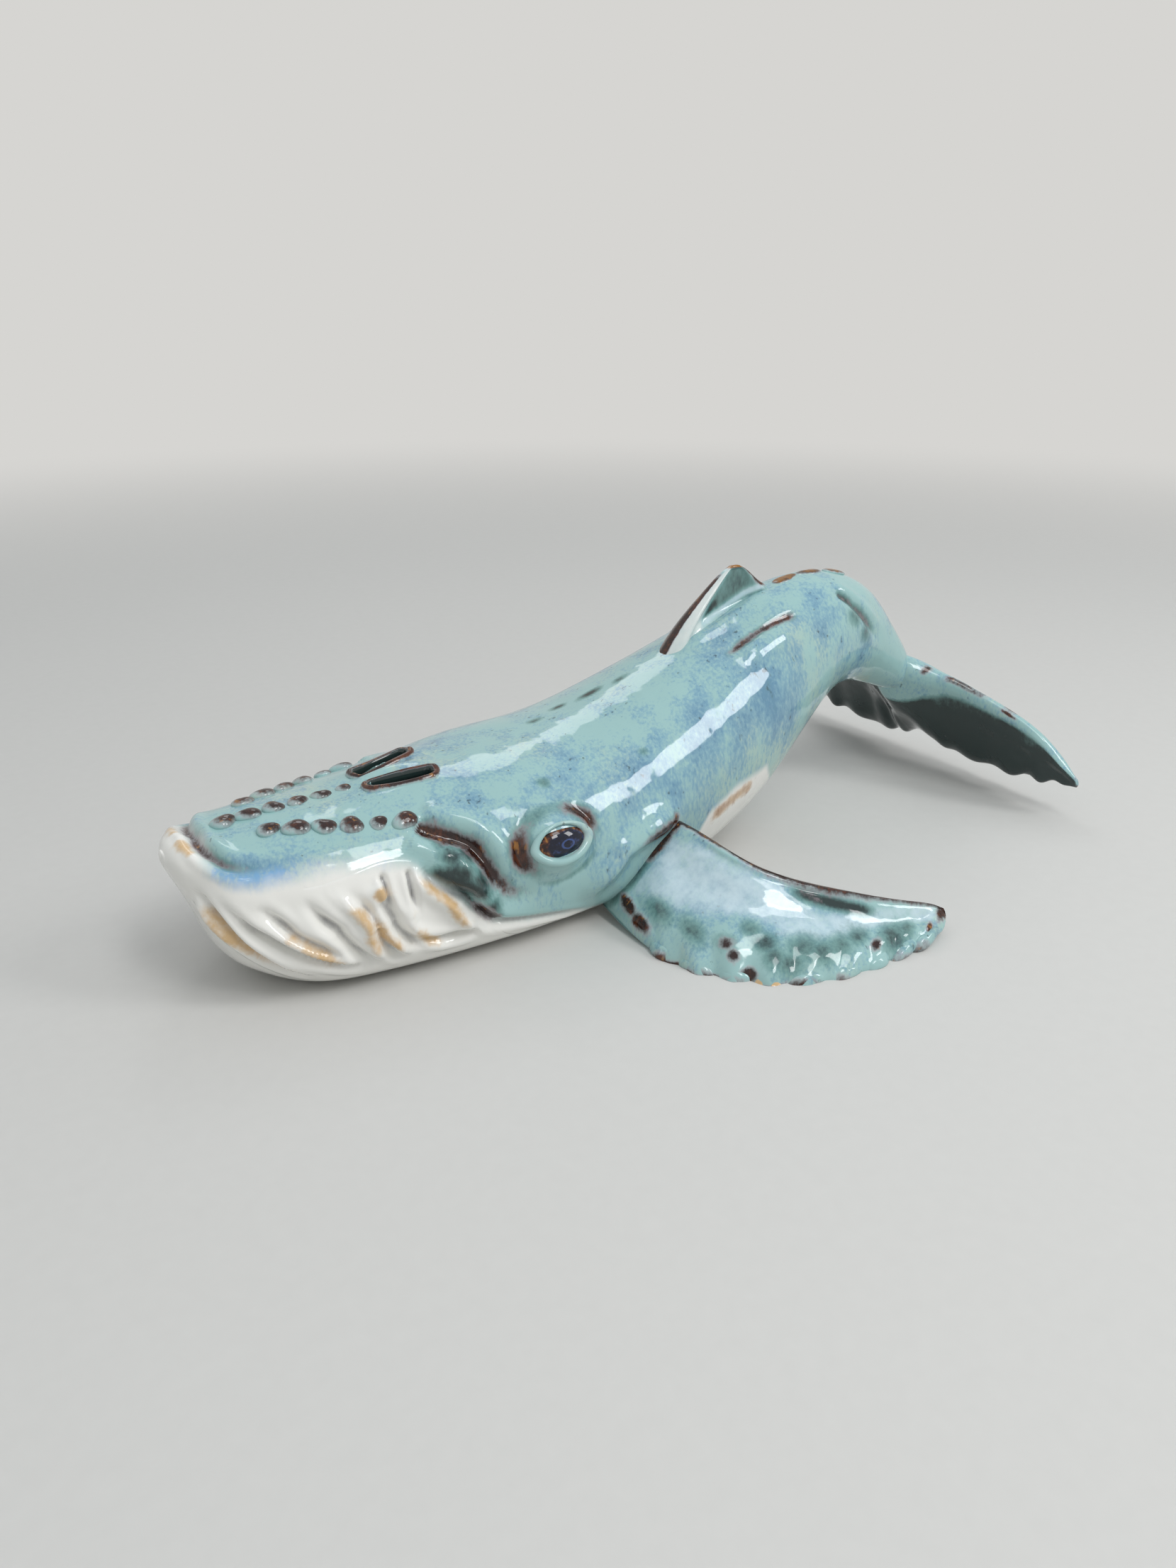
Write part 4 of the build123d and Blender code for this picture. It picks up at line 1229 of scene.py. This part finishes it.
class WhaleGlaze(bpy.types.PropertyGroup):
    """Colours of the glazes as sRGB hex values."""

    celadon: StringProperty(name="Celadon", description="Base of the blue glaze", default="9FC5C4")
    cream: StringProperty(name="Cream", description="Milky clouds", default="B9CDBB")
    blue: StringProperty(name="Blue", description="Floating blue", default="7AA6BE")
    deep_blue: StringProperty(name="Deep blue", description="Deepest blue mottle", default="5485A9")
    teal: StringProperty(name="Teal", description="Shade where glaze thickens", default="628E8A")
    fleck: StringProperty(name="Fleck", description="Dark flecks", default="34464B")
    # This dark colour also paints shade, on the fluke's underside and along the cheek's underside
    pooled_and_shade: StringProperty(name="Pooled", description="Glaze pooled in hollows", default="1E2A29")
    milky: StringProperty(name="Milky", description="Thick edge of the blue glaze", default="CBDCDA")
    cornflower: StringProperty(name="Cornflower", description="Band above the throat", default="6FA9DA")
    # This pale blue mostly paints sheen and highlights, on the flipper's top and the dorsal fin's rim and lip
    milk_and_sheen_blue: StringProperty(name="Pale blue", description="Milky sheet of thick glaze", default="CFE4EC")
    white: StringProperty(name="White", description="Throat glaze", default="F4F3EE")
    # This grey paints shade in the throat's hollows, with some glaze translucency
    lilac_grey: StringProperty(name="Lilac grey", description="Throat's hollows", default="8F8E93")
    ochre: StringProperty(name="Ochre", description="Rubbed ridges of the throat", default="D8B27A")
    halo: StringProperty(name="Halo", description="Edge of the iron-brown breaks", default="B7A6AC")
    iron_dark: StringProperty(name="Dark iron", description="Dark iron-brown", default="2C1611")
    iron: StringProperty(name="Iron", description="Iron-brown", default="663722")
    gold: StringProperty(name="Gold", description="Golden glints in the iron", default="A9732F")
    pupil: StringProperty(name="Pupil", description="Eye's cobalt black", default="0E1428")
    iris: StringProperty(name="Iris", description="Eye's paler ring", default="3E5488")

    def paint(self):
        """All colours by name, linear and opaque."""
        return {key: (*linear(getattr(self, key)), 1) for key in self.__annotations__}


class WhaleStage(bpy.types.PropertyGroup):
    """Floor and light."""

    floor_colour: FloatVectorProperty(
        name="Floor", description="Colour of the floor", subtype="COLOR", default=linear("D6D5D2")
    )
    sky_strength: FloatProperty(name="Sky", description="Strength of the light from all round", default=0.73)
    window_power: FloatProperty(
        name="Windows", description="Power of the strongest window box", default=5.0, unit="POWER"
    )


class WHALE_OT_body(bpy.types.Operator):
    """Both luted halves of the body: the back with rostrum and tail stock, and the pleated belly"""

    bl_idname = "whale.body"
    bl_label = "Body halves"

    def execute(self, context):
        first = BODY[0, 0]
        stations = first + (BODY[-1, 0] - first) * np.linspace(0, 1, STATIONS) ** STATION_CROWDING
        seam = seam_turns(stations)
        glaze = glaze_material()
        points, values = body_half(stations, seam, np.pi - seam, BACK_COLUMNS, INSIDE_BOW, True)
        make_piece("whale_back", points, values, glaze, "back_shell")
        # The belly ends one section behind the last one where the seam is above the keel
        end = np.nonzero(seam > 0.01 - QUARTER_TURN)[0][-1] + 2
        seam[end - 1] = -QUARTER_TURN
        seam = seam[:end]
        points, values = body_half(stations[:end], -np.pi - seam, seam, BELLY_COLUMNS, -INSIDE_BOW, False)
        make_piece("whale_belly", points, values, glaze, "belly_shell")
        return {"FINISHED"}


class WHALE_OT_flippers(bpy.types.Operator):
    """Both flippers, dished paddles with a lumpy leading edge and a brown trailing rim, and their pellets"""

    bl_idname = "whale.flippers"
    bl_label = "Flippers"

    def execute(self, context):
        leads, trails, thicks, outward = flipper_edges()
        glaze = glaze_material()
        points, values = flipper_surface(blade(leads, trails, thicks, outward, FLIPPER_GRID))
        make_pair("flipper", points, values, glaze, "flipper")
        points, values = flipper_pellets(leads, trails)
        make_pair("flipper_pellets", points, values, glaze, "flipper_knobs")
        return {"FINISHED"}


class WHALE_OT_fluke(bpy.types.Operator):
    """Tail fluke: a slab with a thick rounded front, ribs that fan out and a scalloped rear edge"""

    bl_idname = "whale.fluke"
    bl_label = "Tail fluke"

    def execute(self, context):
        other_half = FLUKE[1:][::-1] * (-1, 1, 1, 1, 1, 1)
        across, lead_aft, lead_up, trail_aft, trail_up, thick = np.concatenate([other_half, FLUKE]).T
        leads = STOCK_END + np.stack([lead_aft, across, lead_up], axis=1)
        trails = STOCK_END + np.stack([trail_aft, across, trail_up], axis=1)
        fin = blade(leads, trails, thick, (0, 1, 0), FLUKE_GRID)
        share = fin.share
        y = fin.lead[:, 1:2]
        away = np.abs(y)
        upper = np.sign(fin.swell)
        # Uneven scallops of the rear edge, with ribs that fan out to them
        inner = rise_fall(away, 6, 18, 86, 94)
        wave = np.cos(FULL_TURN * y / SCALLOP + 1.9 * np.sin(y / 15) + 0.8)
        wave = wave * (0.7 + 0.3 * np.sin(y / 11 + 1))
        depth = context.scene.whale_form.scallop_depth / np.linalg.norm(fin.chord, axis=1)[:, None] / MM
        stretch = share * (1 - depth * (0.5 - 0.5 * wave) * inner * smooth_step(0.4, 1.0, share))
        rib = wave * smooth_step(0.3, 0.75, share) * inner
        dish = bell(share - 0.55, 0.2) * inner
        front = bell(share - 0.07, 0.06) * inner
        middle = bell(y, 15) * bell(share - 0.35, 0.25)
        shoulder = bell(away - 15, 11) * bell(share - 0.15, 0.15)
        lift = RIB_RISE * rib - FLUKE_DISH * dish + FRONT_ROLL * front
        lift = upper * (lift + MIDDLE_RIDGE * middle + SHOULDER_ROLL * shoulder)
        points = shape_blade(fin, stretch, lift)

        broken = smooth_step(0.2, 0.9, np.sin(y / 8.0 + 0.8 + np.sin(y / 19)))
        chip = bell(away - 60, 4.5) * bell(share - 0.015, 0.018)
        chip = chip + 0.8 * bell(away - 19, 2) * bell(share, 0.02)
        iron = strongest(0.6 * bell(share, 0.02) * broken, 0.6 * bell(share - 1.0, 0.02), 0.85 * chip)
        # Dark between the ribs where the glaze pools, and painted shade over the whole underside, darkened as
        # if in shadow
        between = 0.45 * smooth_step(0.2, -0.9, wave) * smooth_step(0.35, 0.7, share)
        under = (0.85 + 0.4 * smooth_step(0.2, 0.5, share)) * (upper < 0)
        begins = 0.05 + 0.3 * bell(y, 19)
        pool = strongest(between, under) * smooth_step(begins, begins + 0.13, share)
        points, values = closed_ends(points, marks(points.shape[:2], iron=iron, pool=pool), FLUKE_TIP)
        make_piece("whale_fluke", points, values, glaze_material(), "tail_fluke")
        return {"FINISHED"}


class WHALE_OT_dorsal_fin(bpy.types.Operator):
    """Dorsal fin: a small hooked fin with hollowed sides and a brown edge, and the pellets behind it"""

    bl_idname = "whale.dorsal_fin"
    bl_label = "Dorsal fin"

    def execute(self, context):
        glaze = glaze_material()
        lead_x, lead_z, trail_x, trail_z, thick = DORSAL.T
        leads = np.stack([lead_x, 0 * lead_x, lead_z], axis=1)
        trails = np.stack([trail_x, 0 * trail_x, trail_z], axis=1)
        fin = blade(leads, trails, thick, (0, 0, 1), DORSAL_GRID)
        share = fin.share
        where = fin.place[:, None]
        far_side = fin.swell < 0
        hollow = rise_fall(share, 0.1, 0.3, 0.72, 0.98) * rise_fall(where, 0.7, 1.2, 3.3, 4.0)
        front = np.sign(fin.swell) * DORSAL_FRONT * bell(share - 0.08, 0.07)
        fin = fin._replace(
            over=np.broadcast_to(np.array((0.0, -1.0, 0.0)), fin.over.shape),
            swell=fin.swell * (1 - DORSAL_HOLLOW * hollow) + front,
        )
        points = shape_blade(fin, share + 0 * where, 0 * where)

        tip = smooth_step(3.3, 4.0, where)
        iron = strongest(
            0.8 * bell(share, 0.008 + 0.06 * far_side) * smooth_step(3.8, 2.4, where),
            0.9 * bell(share - 1.0, 0.09) * smooth_step(1.2, 2.0, where),
            0.75 * tip,
        )
        pool = strongest(
            0.62 * rise_fall(share, 0.16, 0.34, 0.85, 1.0) * smooth_step(0.8, 1.4, where),
            0.95 * bell(share - 0.32, 0.1) * bell(where - 1.4, 0.6),
        )
        # A pale rim, pale glaze with a painted highlight, runs down the front, widens below and turns back
        # under the hollow as a lip of pale glaze and painted glint
        wide = np.interp(where, *PALE_RIM)
        rim = rise_fall(share, -0.03, 0.012, wide - 0.05, wide + 0.07) * smooth_step(0.1, 0.5, where)
        lip = bell(outside(points) - 2.2, 1.7) * smooth_step(0.1, 0.2, share) * (share < 0.95)
        values = marks(
            points.shape[:2],
            iron=iron,
            pool=pool * (1 - strongest(0.56 * rim, lip)),
            blue=0.1,
            white=0.5 * rim,
            milk=strongest(rim, lip),
            ochre=0.9 * tip,
        )
        points, values = closed_ends(points, values, DORSAL_TIP)
        make_piece("whale_dorsal_fin", points, values, glaze, "dorsal_fin")

        centres, axes = row_places(KNUCKLE_ROW)
        sizes = np.array(KNUCKLE) * np.ones((len(centres), 1))
        points, high = lumps(centres - axes[:, 2] * KNUCKLE_SINK, axes, sizes, KNUCKLE_PHASES)
        values = marks(high.shape, iron=0.25 + 0.65 * high, ochre=0.2 + 0.4 * high)
        make_piece("whale_knuckles", points, values, glaze, "back_knuckles")
        return {"FINISHED"}


class WHALE_OT_eyes(bpy.types.Operator):
    """Eyes: a domed oval ball in a coil lid on each mound"""

    bl_idname = "whale.eyes"
    bl_label = "Eyes"

    def execute(self, context):
        centre, long_way, high_way, out = eye_axes()
        # Lid: a coil carried round an almond, thinner above
        turn = circle(LID_GRID[0])[:, None]
        coil = circle(LID_GRID[1])[None, :]
        uneven = LID_COIL * (1 - 0.35 * np.sin(turn) + 0.05 * np.sin(3 * turn + 0.6))
        spread = 1 + uneven * np.cos(coil) / ((LID_LONG + LID_HIGH) / 2)
        almond = np.sin(turn) * np.abs(np.sin(turn)) ** LID_ALMOND
        ring = long_way * (LID_LONG * np.cos(turn) * spread)[..., None]
        ring = ring + high_way * (LID_HIGH * almond * spread)[..., None]
        height = LID_RISE - LID_CORNER_DROP * np.cos(turn) ** 2 + uneven * np.sin(coil)
        points = centre + ring + out * height[..., None]
        points = np.concatenate([points, points[:1]])
        inside = smooth_step(0.6, 1.0, -np.cos(coil))
        values = marks(points.shape[:2], iron=0.3 * inside, white=0.42, blue=0.0)
        make_pair("lid", points, values, glaze_material(), "eyelid")

        axes = np.stack([long_way, high_way, out])[None]
        middle = (centre + out * EYEBALL_RISE)[None]
        points, high = lumps(middle, axes, np.array([EYEBALL]), (EYEBALL_PHASE,), EYEBALL_GRID, 0.0)
        away = points - centre
        along = away @ long_way / EYEBALL[0] - PUPIL[0]
        upward = away @ high_way / EYEBALL[1] - PUPIL[1]
        values = {"radius": np.where(high > 0, np.hypot(along, upward), 1.0)}
        cobalt = eye_glaze(context.scene.whale_glaze.paint())
        make_pair("eye", points, values, cobalt, "eyeball")
        return {"FINISHED"}


class WHALE_OT_blowhole(bpy.types.Operator):
    """Blowhole rims: a raised coil carried round each slot, lying on the back"""

    bl_idname = "whale.blowhole"
    bl_label = "Blowhole rims"

    def execute(self, context):
        # Slot's outline: a circle drawn out along its length
        straight = (NOSTRIL_LENGTH - NOSTRIL_WIDTH) / 2
        radius = (NOSTRIL_WIDTH + RIM_WIDTH) / 2
        turn = circle(RIM_GRID[0])[:, None]
        coil = circle(RIM_GRID[1])[None, :]
        along = np.cos(turn) * radius + straight * np.clip(np.cos(turn) * RIM_STRAIGHTNESS, -1, 1)
        aside = np.sin(turn) * radius
        way = np.gradient(np.concatenate([along, aside], axis=1), axis=0)
        outward = unit(way[:, ::-1] * (1, -1))
        # Coil round it, lying on the crest of the back below
        uneven = 1 + 0.12 * np.sin(2 * turn + 0.5) + 0.08 * np.sin(5 * turn)
        off = RIM_WIDTH / 2 * uneven * np.cos(coil)
        run = along + outward[:, :1] * off
        width = aside + outward[:, 1:] * off
        splay = np.radians(NOSTRIL_SPLAY)
        x = NOSTRIL[0] + run * np.cos(splay) + width * np.sin(splay)
        y = NOSTRIL[1] - run * np.sin(splay) + width * np.cos(splay)
        part = section(NOSTRIL[0] + along * np.cos(splay))
        flat = np.clip(np.abs(y) / part.half, 0, 1)
        crest = part.z + part.rise * (1 - flat**part.crown) ** (1 / part.crown)
        z = crest + RIM_LIFT + RIM_HEIGHT * uneven * np.sin(coil)
        points = np.stack([x, y, z], axis=-1)
        points = np.concatenate([points, points[:1]])
        top = np.sin(coil)
        outer = np.cos(coil)
        iron = (0.55 + 0.25 * top) * rise_fall(outer, -0.75, -0.2, 0.5, 1.2)
        values = marks(points.shape[:2], iron=iron, pool=1.1 * smooth_step(-0.1, -0.7, outer), blue=0.1)
        make_pair("rim", points, values, glaze_material(), "nostril_rim")
        return {"FINISHED"}


class WHALE_OT_pellets(bpy.types.Operator):
    """Pellets of the rostrum: three rows of flattened balls, brown where the glaze breaks over them"""

    bl_idname = "whale.pellets"
    bl_label = "Rostrum pellets"

    def execute(self, context):
        rise = context.scene.whale_form.pellet_rise / MM
        glaze = glaze_material()
        points, values = rostrum_row(SNOUT_ROW, SNOUT_PELLET, rise, SNOUT_SCALES, SNOUT_PHASES)
        make_piece("whale_snout_pellets", points, values, glaze, "snout_knobs")
        points, values = rostrum_row(SIDE_ROW, SIDE_PELLET, rise, SIDE_SCALES, SIDE_PHASES)
        make_pair("pellets", points, values, glaze, "row_knobs")
        return {"FINISHED"}


class WHALE_OT_stage(bpy.types.Operator):
    """Pale floor, soft light from all round, four soft boxes and the photograph's camera"""

    bl_idname = "whale.stage"
    bl_label = "Stage"

    def execute(self, context):
        scene = context.scene
        stage = scene.whale_stage
        # Floor: its profile turned round the middle
        out = FLOOR_OUT[:, None]
        turn = circle(FLOOR_COLUMNS)[None, :]
        bowl = np.stack([out * np.cos(turn), out * np.sin(turn), FLOOR_RISE[:, None] + 0 * turn], axis=2)
        faces = grid_faces(len(FLOOR_OUT), FLOOR_COLUMNS)[:, ::-1]
        mesh = bpy.data.meshes.new("studio_floor")
        mesh.from_pydata(bowl.reshape(-1, 3).tolist(), [], faces.tolist())
        mesh.polygons.foreach_set("use_smooth", np.ones(len(mesh.polygons), bool))
        mesh.materials.append(stage_paper(stage.floor_colour))
        floor = bpy.data.objects.new("studio_floor", mesh)
        scene.collection.objects.link(floor)

        world = bpy.data.worlds.new("soft_studio_sky")
        world.use_nodes = True
        sky = world.node_tree.nodes["Background"]
        sky.inputs["Color"].default_value = SKY
        sky.inputs["Strength"].default_value = stage.sky_strength
        scene.world = world

        for name, place, size, share in LAMPS:
            lamp = bpy.data.lights.new(name, "AREA")
            lamp.shape = "RECTANGLE"
            lamp.size = size[0]
            lamp.size_y = size[1]
            lamp.energy = stage.window_power * share
            box = bpy.data.objects.new(name, lamp)
            box.location = place
            aim = -box.location
            box.rotation_euler = aim.to_track_quat("-Z", "Y").to_euler()
            scene.collection.objects.link(box)

        lens = bpy.data.cameras.new("photo_camera")
        lens.sensor_width = SENSOR_WIDTH
        lens.lens = FOCAL_LENGTH
        lens.clip_start = NEAREST
        camera = bpy.data.objects.new("photo_camera", lens)
        camera.location = [part * MM for part in CAMERA_PLACE]
        camera.rotation_euler = np.radians((90 - CAMERA_PITCH, 0, CAMERA_HEADING))
        scene.collection.objects.link(camera)
        scene.camera = camera
        scene.view_settings.view_transform = "Standard"
        return {"FINISHED"}


class WHALE_PT_panel(bpy.types.Panel):
    """Whale's pieces and settings in the sidebar"""

    bl_idname = "WHALE_PT_panel"
    bl_label = "Stoneware whale"
    bl_space_type = "VIEW_3D"
    bl_region_type = "UI"
    bl_category = "Whale"

    def draw(self, context):
        layout = self.layout
        for operator in OPERATORS:
            layout.operator(operator.bl_idname)
        for group in (context.scene.whale_form, context.scene.whale_glaze, context.scene.whale_stage):
            for key in group.__annotations__:
                layout.prop(group, key)


OPERATORS = (
    WHALE_OT_body,
    WHALE_OT_flippers,
    WHALE_OT_fluke,
    WHALE_OT_dorsal_fin,
    WHALE_OT_eyes,
    WHALE_OT_blowhole,
    WHALE_OT_pellets,
    WHALE_OT_stage,
)
CLASSES = (WhaleForm, WhaleGlaze, WhaleStage, *OPERATORS, WHALE_PT_panel)


def register():
    for part in CLASSES:
        bpy.utils.register_class(part)
    bpy.types.Scene.whale_form = PointerProperty(type=WhaleForm)
    bpy.types.Scene.whale_glaze = PointerProperty(type=WhaleGlaze)
    bpy.types.Scene.whale_stage = PointerProperty(type=WhaleStage)


def unregister():
    del bpy.types.Scene.whale_form
    del bpy.types.Scene.whale_glaze
    del bpy.types.Scene.whale_stage
    for part in reversed(CLASSES):
        bpy.utils.unregister_class(part)


def main():
    """Builds the whale piece by piece."""
    register()
    bpy.ops.whale.body()
    bpy.ops.whale.flippers()
    bpy.ops.whale.fluke()
    bpy.ops.whale.dorsal_fin()
    bpy.ops.whale.eyes()
    bpy.ops.whale.blowhole()
    bpy.ops.whale.pellets()
    bpy.ops.whale.stage()
    bpy.context.view_layer.update()


if __name__ == "__main__":
    main()
